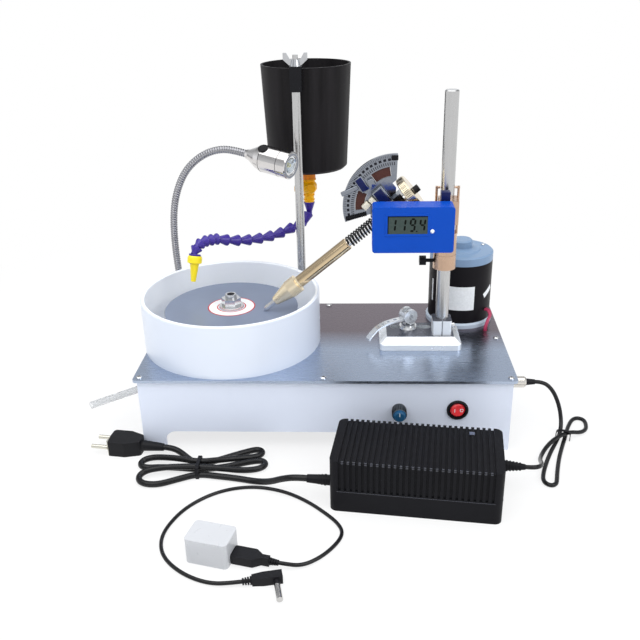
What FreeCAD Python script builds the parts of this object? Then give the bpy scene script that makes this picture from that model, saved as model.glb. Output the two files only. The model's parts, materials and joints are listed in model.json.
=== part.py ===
"""Bench machine for cutting facets on gemstones.

A flat lap turns inside a splash bowl on a low deck. A mast on a sliding foot carries a swinging
quill with its angle sector, index wheel and display. A drip tank on a rod feeds the lap through a
jointed hose, a bendy lamp lights it, and a motor drives it by belt from under the deck.

Frame: origin on the bench below the middle of the deck, +X to the right, +Y to the back, +Z up.
All lengths are in millimetres and all angles in degrees.
"""
import FreeCAD, Part
import math
import os
import Sketcher

Vector = FreeCAD.Vector
Rotation = FreeCAD.Rotation

SIZES = {
    # fits between pieces
    "touch_gap": 0.1,
    "shaft_gap": 0.05,
    "belt_gap": 0.3,
    # deck and base
    "base_width": 400,
    "base_depth": 205,
    "deck_height": 85,
    "plate_thick": 3,
    "plate_corner": 4,
    "panel_inset": 4,
    "panel_thick": 5,
    "arch_height": 21,
    "leg_width": 24,
    "arch_radius": 12,
    "screw_radius": 1.7,
    "screw_length": 9,
    "screw_head_radius": 3.2,
    "screw_head_height": 1.8,
    # splash bowl and drain
    "bowl_x": -107,
    "bowl_y": 0,
    "bowl_radius": 100,
    "bowl_height": 59.3,
    "bowl_wall": 4.5,
    "bowl_floor": 4,
    "bowl_chamfer": 0.8,
    "hub_height": 14,
    "hub_wall": 3.5,
    "drain_radius": 4,
    "drain_bore": 3,
    "drain_x": -160,
    "drain_y": -62.5,
    "drain_drop": 12,
    "drain_run": 102,
    "drain_fall": 38,
    # lap and spindle
    "lap_radius": 75,
    "lap_thick": 3,
    "lap_height": 40,
    "spindle_radius": 6,
    "spindle_neck": 8,
    "platen_radius": 34,
    "platen_thick": 9,
    "stud_radius": 6.3,
    "stud_rise": 15,
    "nut_flange_radius": 13.5,
    "nut_flange_thick": 2.5,
    "nut_across_corners": 22,
    "nut_height": 8.5,
    "housing_radius": 23,
    "housing_length": 40,
    "housing_flange_radius": 34,
    "housing_flange_thick": 6,
    "bearing_radius": 16,
    "bearing_width": 11,
    # belt drive
    "pulley_gap": 3.5,
    "lap_pulley_radius": 24,
    "motor_pulley_radius": 16,
    "pulley_groove": 9,
    "pulley_rim": 3,
    "rim_width": 3,
    "belt_thick": 2,
    "belt_width": 8,
    # motor
    "motor_inset": 42.4,
    "motor_y": 63.5,
    "motor_radius": 36.5,
    "motor_wall": 3,
    "motor_length": 70,
    "motor_flange_radius": 39,
    "motor_flange_height": 6,
    "motor_cap_height": 10,
    "motor_cap_step": 3,
    "motor_step_radius": 22,
    "motor_boss_radius": 12,
    "motor_boss_height": 9,
    "motor_shaft_radius": 4,
    "armature_radius": 26,
    "armature_length": 46,
    "lead_radius": 1.3,
    # controls
    "knob_x": 79,
    "switch_x": 140,
    "control_level": 49,
    "knob_radius": 7.5,
    "knob_length": 13,
    "knob_cap_radius": 6,
    "knob_cap_length": 3,
    "knob_shaft_radius": 3,
    "pot_radius": 8.5,
    "pot_depth": 9,
    "board_length": 60,
    "board_height": 36,
    "board_thick": 1.6,
    "heat_sink_depth": 18,
    "bezel_radius": 11.3,
    "bezel_proud": 2.2,
    "switch_radius": 9.9,
    "switch_depth": 20,
    "rocker_radius": 8,
    "rocker_recess": 8.8,
    "rocker_thick": 5,
    "rocker_lean": 6,
    "rocker_pin": 1.4,
    "socket_y": -42.5,
    "socket_level": 52,
    "socket_radius": 5.9,
    "socket_flange": 7.6,
    "plug_radius": 6.4,
    "plug_length": 19,
    "plug_boot_length": 10,
    # mast and its foot
    "mast_x": 129.2,
    "mast_y": -11.5,
    "mast_radius": 7.2,
    "mast_rise": 277,
    "foot_left": 69,
    "foot_right": 21.3,
    "foot_front": 21,
    "foot_back": 33,
    "foot_thick": 13.5,
    "foot_bevel_rise": 7,
    "foot_bevel_lean": 41,
    "foot_corner": 5,
    "clamp_width": 21,
    "clamp_height": 17.5,
    "clamp_slit": 1.2,
    "slot_length": 46,
    "slot_width": 9,
    "slot_middle": 35.5,
    "clamp_x": 93,
    "clamp_y": 2,
    "clamp_stud_radius": 4,
    "washer_radius": 10.5,
    "washer_thick": 2.5,
    "stack_radius": 7.5,
    "cam_radius": 8.4,
    "cam_width": 13,
    "cam_rise": 28,
    "tongue_width": 5,
    "cam_pin_radius": 2.5,
    "lever_reach": 52,
    "lever_drop": 16,
    "lever_thick": 2.2,
    "lever_width": 8,
    "lever_swing": 28,
    "collar_radius": 12.2,
    "collar_height": 16,
    "collar_screw_radius": 2,
    "collar_screw_neck": 7.7,
    "collar_knob_radius": 5.2,
    "collar_knob_length": 7,
    # carriage and display
    "sleeve_radius": 9.4,
    "sleeve_below": 52.7,
    "sleeve_above": 6,
    "sleeve_step": 24,
    "bail_radius": 1.3,
    "bail_reach": 11.3,
    "bail_rise": 20.6,
    "bail_hook": 3.6,
    "sleeve_low_radius": 12,
    "bracket_thick": 3.7,
    "bracket_drop": 14,
    "case_width": 82,
    "case_left": 78.7,
    "case_height": 47.6,
    "case_below": 36.2,
    "case_depth": 22,
    "case_back": 24.5,
    "case_corner": 3,
    "lcd_width": 40,
    "lcd_height": 18.6,
    "lcd_depth": 1.2,
    "lcd_right": 9.5,
    "lcd_above": 2.4,
    "button_radius": 2,
    "button_proud": 1.6,
    # quill, measured along its axis from the hub, towards the stone
    "hub_reach": 54,
    "quill_tilt": 39.5,
    "quill_reach": 187.5,
    "stone_gap": 0.3,
    "axle_radius": 4,
    "block_back": 13,
    "block_front": 26,
    "block_width": 18,
    "shaft_radius": 4,
    "wheel_radius": 20,
    "wheel_thick": 9,
    "wheel_back": 25,
    "wheel_clear": 1,
    "wheel_end_clear": 3,
    "end_knob_radius": 3.8,
    "end_knob_length": 6,
    "spring_radius": 6,
    "spring_wire": 1.0,
    "spring_turns": 10,
    "spring_clear": 1,
    "spring_length": 38.5,
    "tube_radius": 6.8,
    "tube_length": 68.4,
    "chuck_radius": 10.2,
    "chuck_length": 36.5,
    "chuck_nose": 4,
    "dop_radius": 2.9,
    "dop_seat": 14,
    "sector_radius": 55,
    "sector_inner": 42,
    "sector_hub": 32,
    "sector_thick": 3,
    "sector_start": 88,
    "sector_span": 110,
    "window_start": 98,
    "window_span": 30,
    "window_step": 58,
    # drip tank on its rod
    "rod_x": -32,
    "rod_y": 82.5,
    "rod_radius": 5,
    "rod_rise": 284,
    "rod_stud_radius": 3,
    "rod_stud_length": 19,
    "rod_nut_radius": 8,
    "rod_nut_height": 6,
    "clamp_block": 13,
    "clamp_tall": 27,
    "clamp_cap": 7,
    "tank_x": -24.2,
    "tank_y": 140.5,
    "tank_top_radius": 52.8,
    "tank_bottom_radius": 47.6,
    "tank_height": 121,
    "tank_level": 252,
    "tank_wall": 2.4,
    "tank_floor": 3,
    "spigot_radius": 5,
    "spigot_rise": 4,
    "valve_barrel_radius": 8.6,
    "valve_barrel": 18,
    "valve_ball_radius": 10,
    "valve_ball": 15,
    "valve_neck": 12,
    "valve_neck_radius": 6.2,
    "valve_bore": 3,
    "tap_boss_radius": 4.6,
    "tap_boss": 13,
    "tap_pin_radius": 2,
    "tap_bar": 24,
    "tap_bar_width": 6,
    "tap_bar_thick": 4,
    "hose_radius": 6.7,
    "hose_waist": 3.75,
    "hose_bore": 2.4,
    "hose_links": 13,
    "nozzle_radius": 8.3,
    "nozzle_collar": 9.5,
    "nozzle_length": 29.8,
    "nozzle_tip": 2.7,
    "nozzle_bore": 1.2,
    "wing_hub_radius": 5.6,
    "wing_hub_height": 7,
    "wing_span": 27,
    "wing_rise": 7,
    "wing_thick": 3,
    # lamp
    "lamp_inset": 16,
    "lamp_back": 10.5,
    "lamp_neck_radius": 4.3,
    "lamp_radius": 15,
    "lamp_length": 60,
    "lamp_taper": 24,
    "lamp_lens_radius": 10.5,
    "lamp_lens_depth": 4,
    "lamp_button_radius": 5.6,
    "lamp_button_proud": 1.4,
    "lamp_button_place": 26,
    # leads and their pieces
    "dc_cord_radius": 2.25,
    "mains_cord_radius": 3.25,
    "lamp_lead_radius": 1.8,
    "adapter_x": 8.3,
    "adapter_y": -204,
    "adapter_turn": -6.93,
    "adapter_length": 161.4,
    "adapter_width": 77.6,
    "adapter_height": 55.7,
    "adapter_parting": 22.6,
    "adapter_corner": 7,
    "adapter_ribs": 27,
    "adapter_groove": 1.4,
    "boot_radius": 5.2,
    "boot_length": 24,
    "left_boot_place": 17,
    "right_boot_place": 64,
    "usb_length": 34,
    "usb_width": 15,
    "usb_height": 8.4,
    "usb_neck": 5.2,
    "usb_neck_length": 7,
    "usb_shell_length": 12,
    "usb_shell_width": 12,
    "usb_shell_height": 4.6,
    "port_depth": 13,
    "charger_length": 40,
    "charger_width": 28,
    "charger_height": 25,
    "charger_corner": 4,
    "barrel_grip_length": 26,
    "barrel_grip_width": 9,
    "barrel_neck": 6,
    "barrel_pin_radius": 2.75,
    "barrel_pin_length": 22,
    "barrel_pin_place": 20.5,
    "mains_plug_length": 36,
    "mains_plug_width": 26,
    "mains_plug_height": 17,
    "mains_pin_radius": 2.3,
    "mains_pin_length": 18,
    "mains_pin_spacing": 18.6,
}

# Routes of the leads, chosen by hand along the bench. Heights are to the middle of the lead.
DC_ROUTE = [
    (231, -42.5, 52), (240.5, -42.5, 52), (251, -45.5, 43.5), (258, -52, 28), (260, -61, 12),
    (256.5, -72, 3), (248.5, -88, 2.25), (238.5, -107, 2.25), (228.5, -130, 2.25),
    (222.5, -147, 2.25), (220.8, -156, 2.25), (222.5, -162, 2.25), (227.5, -165, 2.25),
    (232.3, -161.8, 2.25), (234.5, -155, 2.25), (237.5, -143, 2.25), (245, -118, 2.25),
    (253, -97, 2.25), (261.5, -76, 2.25), (267, -61, 2.25), (273.5, -47, 2.25),
    (278.5, -39.5, 2.25), (284, -36.5, 2.25), (289.3, -38.8, 2.25), (291.3, -45.5, 2.25),
    (288.5, -60, 2.25), (280, -69, 3.2), (266, -75, 7.9), (254, -82.5, 8), (243, -93, 7.9),
    (234, -102.5, 4.5), (227.5, -114, 3.4), (223.5, -126, 6.5), (221.5, -138, 11.5),
    (219.5, -149.5, 17), (215, -159.5, 21), (208, -163.8, 22.6), (200.12, -162.84, 22.6),
]
MAINS_ROUTE = [
    (-13.52, -184.22, 22.6), (-25.1, -182.82, 22.6), (-38, -178.6, 18), (-52, -171, 8.5),
    (-67, -163.5, 3.3), (-86, -158.5, 3.25), (-106, -155, 3.25), (-128, -151.3, 3.25),
    (-148, -161, 3.25), (-164, -169.5, 3.25), (-178, -169.5, 3.25), (-186.5, -163.5, 3.25),
    (-187.5, -155, 4.4), (-180.5, -149.5, 6.2), (-168, -148, 8), (-154, -147.8, 9.5),
    (-128, -147.5, 10), (-104, -148.5, 8.4), (-84, -147, 5), (-70, -142.8, 3.25),
    (-62.5, -138.5, 3.25), (-60, -132.5, 3.25), (-63.5, -127.2, 3.25), (-70.5, -127, 3.25),
    (-82, -130.5, 3.25), (-104, -139.5, 3.25), (-128, -143.6, 3.25), (-150, -140.5, 3.25),
    (-169, -139.5, 3.25), (-182, -141, 3.25), (-189, -139, 3.25), (-192, -133.5, 3.4),
    (-189, -128, 4.4), (-182, -126, 5.6), (-172, -127, 7), (-152, -132, 9.2),
    (-128, -139.8, 10), (-104, -132.5, 8.4), (-86, -124.5, 5), (-75.5, -120.5, 3.25),
    (-68.5, -117.5, 3.25), (-65.5, -112.5, 3.25), (-67.5, -107.5, 3.25), (-73, -106, 3.25),
    (-80, -108.8, 3.25), (-92, -115, 3.25), (-110, -125.5, 3.25), (-128, -135.9, 3.25),
    (-141, -126.5, 3.6), (-152, -116.5, 6), (-162, -111.6, 8.4), (-172, -110.2, 8.4),
]
LAMP_LEAD_ROUTE = [
    (-41, -282.5, 6), (-29, -285.5, 6), (-13, -284, 2.6), (3, -272, 1.8), (16, -255, 1.8),
    (22, -240, 1.8), (18, -227, 1.8), (7, -213, 1.8), (-14, -192, 1.8), (-40, -175.6, 1.8),
    (-72, -169.1, 1.8), (-104, -178.5, 1.8), (-130, -203, 1.8), (-143, -234, 1.8),
    (-143.5, -257, 1.8), (-134.5, -277.5, 1.8), (-114, -296, 1.8), (-90, -306.5, 1.8),
    (-68, -307, 4), (-54, -304, 4),
]

# The hose from the outlet of its valve, and the lamp neck and lamp face from the neck's place on the deck.
HOSE_STEPS = [
    (0, 0, 0), (0, 0, -11), (-5.8, -10.5, -21), (-18.8, -23, -25.5), (-37.8, -38.5, -30),
    (-60, -55.5, -30), (-82, -72.5, -26.5), (-103, -89.5, -18.5), (-114.8, -100.6, -16.5),
    (-121.6, -107.6, -19.3), (-124.8, -111.8, -24.7), (-125.4, -113.3, -30.4),
]
LAMP_STEPS = [
    (0, 0, 27), (-2.4, -1.6, 65), (-2, -3.6, 101), (1.5, -6, 132), (9.2, -8, 157), (21.8, -11, 179),
    (40.7, -14, 195), (60, -17, 202.5), (78, -21, 203), (96, -29.5, 199.6),
]
LAMP_FACE = (146, -57.5, 192.6)

# A motor lead: heading and height of its exit from the can, then its steps from there.
LEAD_EXIT = (40, 19)
LEAD_ROUTE = [(3.4, -2.85, 0), (5, -8, -3.5), (1, -14.5, -9), (-1.2, -17.2, -15), (-1.2, -17.2, -20.5)]


class Size:
    """A length or angle: its number now and the sheet expression that drives it."""

    def __init__(self, number, text):
        self.number = float(number)
        self.text = text

    def _with(self, sign, other, swap=False):
        other = as_size(other)
        first, second = (other, self) if swap else (self, other)
        number = {
            "+": lambda a, b: a + b,
            "-": lambda a, b: a - b,
            "*": lambda a, b: a * b,
            "/": lambda a, b: a / b,
        }[sign](first.number, second.number)
        return Size(number, f"({first.text} {sign} {second.text})")

    def __add__(self, other):
        return self._with("+", other)

    def __radd__(self, other):
        return self._with("+", other, swap=True)

    def __sub__(self, other):
        return self._with("-", other)

    def __rsub__(self, other):
        return self._with("-", other, swap=True)

    def __mul__(self, other):
        return self._with("*", other)

    def __rmul__(self, other):
        return self._with("*", other, swap=True)

    def __truediv__(self, other):
        return self._with("/", other)

    def __neg__(self):
        return Size(-self.number, f"(0 - {self.text})")


def as_size(value):
    """A plain number becomes a Size that nothing drives."""
    return value if isinstance(value, Size) else Size(value, f"({float(value)!r})")


def sine(angle):
    return Size(math.sin(math.radians(angle.number)), f"sin({angle.text})")


def cosine(angle):
    return Size(math.cos(math.radians(angle.number)), f"cos({angle.text})")


class Sheet:
    """The driving dimensions, by name, as the spreadsheet holds them."""

    def __init__(self, cells):
        self._cells = cells

    def __getattr__(self, name):
        return Size(getattr(self._cells, name), f"Sizes.{name}")


doc = FreeCAD.newDocument("FacetingMachine")
cells = doc.addObject("Spreadsheet::Sheet", "Sizes")
for row, (alias, number) in enumerate(SIZES.items(), start=1):
    cells.set(f"A{row}", alias)
    cells.set(f"B{row}", str(number))
    cells.setAlias(f"B{row}", alias)
doc.recompute()
dim = Sheet(cells)
nodes = {}

UPRIGHT = Rotation()
ALONG_X = Rotation(Vector(0, 1, 0), 90)
AGAINST_X = Rotation(Vector(0, 1, 0), -90)
ALONG_Y = Rotation(Vector(1, 0, 0), -90)
AGAINST_Y = Rotation(Vector(1, 0, 0), 90)
QUILL_TURN = Rotation(Vector(0, 1, 0), -90 - dim.quill_tilt.number)
ADAPTER_TURN = Rotation(Vector(0, 0, 1), dim.adapter_turn.number)
LEVER_TURN = Rotation(Vector(0, 0, 1), dim.lever_swing.number)


def bind(thing, property_name, size):
    """Let the sheet drive one property."""
    thing.setExpression(property_name, as_size(size).text)


def place(thing, at, turn=UPRIGHT):
    """Turn a piece, and bind its place to the sheet."""
    thing.Placement = FreeCAD.Placement(Vector(), turn)
    for letter, coordinate in zip("xyz", at):
        bind(thing, "Placement.Base." + letter, coordinate)
    return thing


def cylinder(name, radius, height, at, turn=UPRIGHT, angle=None):
    thing = doc.addObject("Part::Cylinder", name)
    bind(thing, "Radius", radius)
    bind(thing, "Height", height)
    if angle is not None:
        bind(thing, "Angle", angle)
    return place(thing, at, turn)


def cone(name, low_radius, high_radius, height, at, turn=UPRIGHT):
    thing = doc.addObject("Part::Cone", name)
    bind(thing, "Radius1", low_radius)
    bind(thing, "Radius2", high_radius)
    bind(thing, "Height", height)
    return place(thing, at, turn)


def cuboid(name, length, width, height, at, turn=UPRIGHT):
    thing = doc.addObject("Part::Box", name)
    bind(thing, "Length", length)
    bind(thing, "Width", width)
    bind(thing, "Height", height)
    return place(thing, at, turn)


def hexagon(name, corner_radius, height, at, turn=UPRIGHT):
    thing = doc.addObject("Part::Prism", name)
    thing.Polygon = 6
    bind(thing, "Circumradius", corner_radius)
    bind(thing, "Height", height)
    return place(thing, at, turn)


def fuse(name, *pieces):
    thing = doc.addObject("Part::MultiFuse", name)
    thing.Shapes = list(pieces)
    return thing


def group(name, *pieces):
    """Separate solids that share one node."""
    thing = doc.addObject("Part::Compound", name)
    thing.Links = list(pieces)
    return thing


def cut(name, base, *tools):
    thing = doc.addObject("Part::Cut", name)
    thing.Base = base
    thing.Tool = tools[0] if len(tools) == 1 else fuse(name + "_tools", *tools)
    return thing


def node(name, thing):
    """Register a finished sub-part under the name of its file."""
    thing.Label = name
    nodes[name] = thing
    return thing


def origin_plane(body, role):
    return next(f for f in body.Origin.OriginFeatures if f.Role == role)


def outline_sketch(body, role, corners):
    """A closed outline whose corners are each held to the sheet."""
    sketch = body.newObject("Sketcher::SketchObject", body.Name + "_outline")
    sketch.AttachmentSupport = (origin_plane(body, role), [""])
    sketch.MapMode = "FlatFace"
    corners = [(as_size(across), as_size(up)) for across, up in corners]
    points = [Vector(across.number, up.number, 0) for across, up in corners]
    count = len(points)
    for index in range(count):
        sketch.addGeometry(Part.LineSegment(points[index], points[(index + 1) % count]), False)
    for index in range(count):
        sketch.addConstraint(Sketcher.Constraint("Coincident", index, 2, (index + 1) % count, 1))
    for index, (across, up) in enumerate(corners):
        for kind, size in (("DistanceX", across), ("DistanceY", up)):
            held = sketch.addConstraint(Sketcher.Constraint(kind, -1, 1, index, 1, size.number))
            sketch.setExpression(f"Constraints[{held}]", size.text)
    return sketch


def lathe(name, profile, at, turn=UPRIGHT):
    """A turned piece: (radius, height) corners carried round its own Z axis."""
    body = doc.addObject("PartDesign::Body", name)
    sketch = outline_sketch(body, "XZ_Plane", profile)
    turned = body.newObject("PartDesign::Revolution", name + "_turned")
    turned.Profile = sketch
    turned.ReferenceAxis = (sketch, ["V_Axis"])
    turned.Angle = 360
    return place(body, at, turn)


def slab(name, role, corners, thick, at, turn=UPRIGHT, rounds=()):
    """A plate padded from an outline, with chosen corners rounded.

    rounds lists (radius, corner numbers).
    """
    body = doc.addObject("PartDesign::Body", name)
    sketch = outline_sketch(body, role, corners)
    pad = body.newObject("PartDesign::Pad", name + "_pad")
    pad.Profile = sketch
    bind(pad, "Length", thick)
    doc.recompute()
    feature = pad
    for radius, chosen in rounds:
        spots = [sketch.Placement.multVec(sketch.Geometry[c].StartPoint) for c in chosen]
        normal = sketch.Placement.Rotation.multVec(Vector(0, 0, 1))
        edges = standing_edges(feature.Shape, spots, normal)
        softened = body.newObject("PartDesign::Fillet", name + "_round")
        softened.Base = (feature, edges)
        bind(softened, "Radius", radius)
        doc.recompute()
        feature = softened
    body.Tip = feature
    return place(body, at, turn)


def standing_edges(shape, spots, normal):
    """Names of the straight edges along normal that pass through the given spots."""
    found = []
    for number, edge in enumerate(shape.Edges, start=1):
        if edge.Curve.TypeId != "Part::GeomLine":
            continue
        middle = edge.CenterOfMass
        for spot in spots:
            offset = middle - spot
            along = offset.dot(normal)
            if (offset - normal * along).Length < 1e-4:
                found.append(f"Edge{number}")
                break
    return found


def rectangle(left, low, right, high):
    return [(left, low), (right, low), (right, high), (left, high)]


def feature(name, shape):
    thing = doc.addObject("Part::Feature", name)
    thing.Shape = shape
    return thing


def arc_through(start, corner, end):
    """The arc tangent at start and end to the lines that meet at corner."""
    middle = (start + end) * 0.5
    half = (end - start).Length / 2
    reach = (corner - middle).Length
    turn = 2 * math.atan2(reach, half)
    bulge = half * math.tan(turn / 4)
    return Part.Arc(start, middle + (corner - middle) * (bulge / reach), end).toShape()


def route_wire(points, name):
    """Straight runs joined by tangent arcs, each as large as its runs allow."""
    points = [Vector(*p) for p in points]
    edges = []
    radii = []
    at = points[0]
    for before, corner, after in zip(points, points[1:], points[2:]):
        run_in = corner - before
        run_out = after - corner
        turn = run_in.getAngle(run_out)
        reach = 0.45 * min(run_in.Length, run_out.Length)
        radii.append(reach / math.tan(turn / 2))
        start = corner - run_in * (reach / run_in.Length)
        end = corner + run_out * (reach / run_out.Length)
        edges.append(Part.LineSegment(at, start).toShape())
        edges.append(arc_through(start, corner, end))
        at = end
    edges.append(Part.LineSegment(at, points[-1]).toShape())
    wire = Part.Wire(edges)
    print(f"{name}: length {wire.Length:.0f}, radii",
          " ".join(f"{radius:.0f}" for radius in radii))
    return wire


def swept(wire, radius):
    """A round bar along a wire."""
    first = wire.Edges[0]
    start = first.valueAt(first.FirstParameter)
    along = first.tangentAt(first.FirstParameter)
    ring = Part.Wire(Part.makeCircle(radius, start, along))
    return wire.makePipeShell([ring], True, False)


def route_tube(name, points, radius, bore=None):
    """A lead or tube along a route, with its volume compared with section times length."""
    wire = route_wire(points, name)
    solid = swept(wire, radius.number)
    section = math.pi * radius.number ** 2
    if bore is not None:
        solid = solid.cut(swept(wire, bore.number))
        section -= math.pi * bore.number ** 2
    print(f"{name}: volume over section times length {solid.Volume / (section * wire.Length):.4f}")
    return feature(name, solid), wire


def least_gap(wire, radius, name):
    """Print the smallest gap that a looped lead leaves to itself, measured on points."""
    step = radius / 2
    count = int(wire.Length / step)
    points = wire.discretize(Number=count)
    skip = int(4 * math.pi * radius / step)
    nearest = min(
        (points[one] - points[two]).Length
        for one in range(count)
        for two in range(one + skip, count)
    )
    print(f"{name}: least gap to itself {nearest - 2 * radius:.2f}")


# Levels and places that several pieces share
HALF_WIDTH = dim.base_width / 2
HALF_DEPTH = dim.base_depth / 2
PLATE_UNDER = dim.deck_height - dim.plate_thick
SIDE_FACE = HALF_WIDTH - dim.panel_inset
FRONT_FACE = HALF_DEPTH - dim.panel_inset
SCREW_X = SIDE_FACE - dim.panel_thick / 2
SCREW_Y = FRONT_FACE - dim.panel_thick / 2
SCREW_SPOTS = [
    (-SCREW_X, -SCREW_Y), (0, -SCREW_Y), (SCREW_X, -SCREW_Y), (SCREW_X, 0),
    (SCREW_X, SCREW_Y), (0, SCREW_Y), (-SCREW_X, SCREW_Y),
]
LAP_TOP = dim.deck_height + dim.lap_height
LAP_UNDER = LAP_TOP - dim.lap_thick
HUB_X = dim.mast_x - dim.hub_reach
HUB_Z = LAP_TOP + dim.stone_gap + dim.quill_reach * sine(dim.quill_tilt)
SLEEVE_LOW = HUB_Z - dim.sleeve_below
SLEEVE_TOP = HUB_Z + dim.sleeve_above
COLLAR_TOP = SLEEVE_LOW - dim.touch_gap
COLLAR_LOW = COLLAR_TOP - dim.collar_height
COLLAR_SCREW_Z = COLLAR_LOW + dim.collar_height / 2
FOOT_LOW = dim.deck_height + dim.touch_gap
FOOT_TOP = FOOT_LOW + dim.foot_thick
ROD_TOP = dim.deck_height + dim.rod_rise
CAM_Z = dim.deck_height + dim.cam_rise
TANK_RIM = dim.tank_level + dim.tank_height
HOUSING_LOW = PLATE_UNDER - dim.housing_length
PULLEY_LEVEL = HOUSING_LOW - dim.pulley_gap - dim.rim_width - dim.pulley_groove / 2
MOTOR_X = HALF_WIDTH - dim.motor_inset
LAMP_X = dim.lamp_inset - HALF_WIDTH
LAMP_Y = HALF_DEPTH - dim.lamp_back
VALVE_OUTLET = dim.tank_level - dim.valve_barrel - dim.valve_ball - dim.valve_neck


def on_quill(along):
    """The place at a distance along the quill from its hub, towards the stone."""
    return (
        HUB_X - along * cosine(dim.quill_tilt),
        dim.mast_y,
        HUB_Z - along * sine(dim.quill_tilt),
    )


def screw_holes(name, spots):
    return [
        cylinder(f"{name}_{index}", dim.screw_radius + dim.shaft_gap,
                 dim.screw_length + dim.screw_head_height, (x, y, dim.deck_height - dim.screw_length))
        for index, (x, y) in enumerate(spots)
    ]


def build_deck():
    """The metal top plate and its screws."""
    blank = slab("plate_blank", "XY_Plane",
                 rectangle(-HALF_WIDTH, -HALF_DEPTH, HALF_WIDTH, HALF_DEPTH), dim.plate_thick,
                 (0, 0, PLATE_UNDER), rounds=[(dim.plate_corner, (0, 1, 2, 3))])

    def hole(name, radius, x, y):
        return cylinder(name, radius, dim.plate_thick * 3, (x, y, PLATE_UNDER - dim.plate_thick))

    holes = [
        hole("spindle_hole", dim.spindle_neck + 2 * dim.belt_gap, dim.bowl_x, dim.bowl_y),
        hole("drain_hole", dim.drain_radius + dim.shaft_gap, dim.drain_x, dim.drain_y),
        hole("shaft_hole", dim.motor_shaft_radius * 2, MOTOR_X, dim.motor_y),
        hole("lamp_hole", dim.lamp_neck_radius + dim.shaft_gap, LAMP_X, LAMP_Y),
        hole("rod_hole", dim.rod_radius + dim.shaft_gap, dim.rod_x, dim.rod_y),
        hole("stud_hole", dim.clamp_stud_radius + dim.shaft_gap, dim.clamp_x, dim.clamp_y),
        hole("lead_hole", dim.lead_radius * 2.6, *lead_hole_place()),
    ]
    node("top_plate", cut("top_plate", blank, *holes, *screw_holes("plate_pilot", SCREW_SPOTS)))

    screws = []
    for index, (x, y) in enumerate(SCREW_SPOTS):
        profile = [
            (0, -dim.screw_length), (dim.screw_radius, -dim.screw_length), (dim.screw_radius, 0),
            (dim.screw_head_radius, 0), (dim.screw_head_radius, dim.screw_head_height / 2),
            (dim.screw_head_radius * 0.6, dim.screw_head_height), (0, dim.screw_head_height),
        ]
        screws.append(lathe(f"screw_{index}", profile, (x, y, dim.deck_height)))
    node("plate_screws", group("plate_screws", *screws))


def panel(name, back):
    """An upright panel with an arch between its two feet; back is the face away from -Y."""
    corners = [
        (-SIDE_FACE, 0), (-SIDE_FACE + dim.leg_width, 0),
        (-SIDE_FACE + dim.leg_width, dim.arch_height), (SIDE_FACE - dim.leg_width, dim.arch_height),
        (SIDE_FACE - dim.leg_width, 0), (SIDE_FACE, 0), (SIDE_FACE, PLATE_UNDER),
        (-SIDE_FACE, PLATE_UNDER),
    ]
    return slab(name, "XZ_Plane", corners, dim.panel_thick, (0, back, 0),
                rounds=[(dim.arch_radius, (2, 3))])


def build_base():
    """The front panel, and the shell of sides and back."""
    front_back = -FRONT_FACE + dim.panel_thick
    front = panel("front_blank", front_back)
    knob_hole = cylinder("knob_hole", dim.knob_shaft_radius + 4 * dim.shaft_gap, dim.panel_thick * 3,
                         (dim.knob_x, front_back + dim.panel_thick, dim.control_level), AGAINST_Y)
    switch_hole = cylinder("switch_hole", dim.switch_radius, dim.panel_thick * 3,
                           (dim.switch_x, front_back + dim.panel_thick, dim.control_level), AGAINST_Y)
    pilots = screw_holes("front_pilot", SCREW_SPOTS[:3])
    node("front_panel", cut("front_panel", front, knob_hole, switch_hole, *pilots))

    back = panel("back_blank", FRONT_FACE)
    depth = 2 * FRONT_FACE - 2 * dim.panel_thick
    height = PLATE_UNDER - dim.arch_height
    left = cuboid("left_blank", dim.panel_thick, depth, height, (-SIDE_FACE, front_back, dim.arch_height))
    right = cuboid("right_blank", dim.panel_thick, depth, height,
                   (SIDE_FACE - dim.panel_thick, front_back, dim.arch_height))
    shell = fuse("shell_blank", back, left, right)
    drain_level = drain_height(-SIDE_FACE + dim.panel_thick / 2)
    drain_hole = cylinder("shell_drain_hole", dim.drain_radius * 1.4, dim.panel_thick * 3,
                          (-SIDE_FACE - dim.panel_thick, dim.drain_y, drain_level), ALONG_X)
    socket_hole = cylinder("socket_hole", dim.socket_radius, dim.panel_thick * 3,
                           (SIDE_FACE - dim.panel_thick * 2, dim.socket_y, dim.socket_level), ALONG_X)
    pilots = screw_holes("shell_pilot", SCREW_SPOTS[3:])
    node("base_shell", cut("base_shell", shell, drain_hole, socket_hole, *pilots))


def drain_height(x):
    """Height of the sloping drain tube's middle at a given x."""
    return (PLATE_UNDER - dim.drain_drop
            - (dim.drain_x - x) * dim.drain_fall / dim.drain_run)


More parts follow.
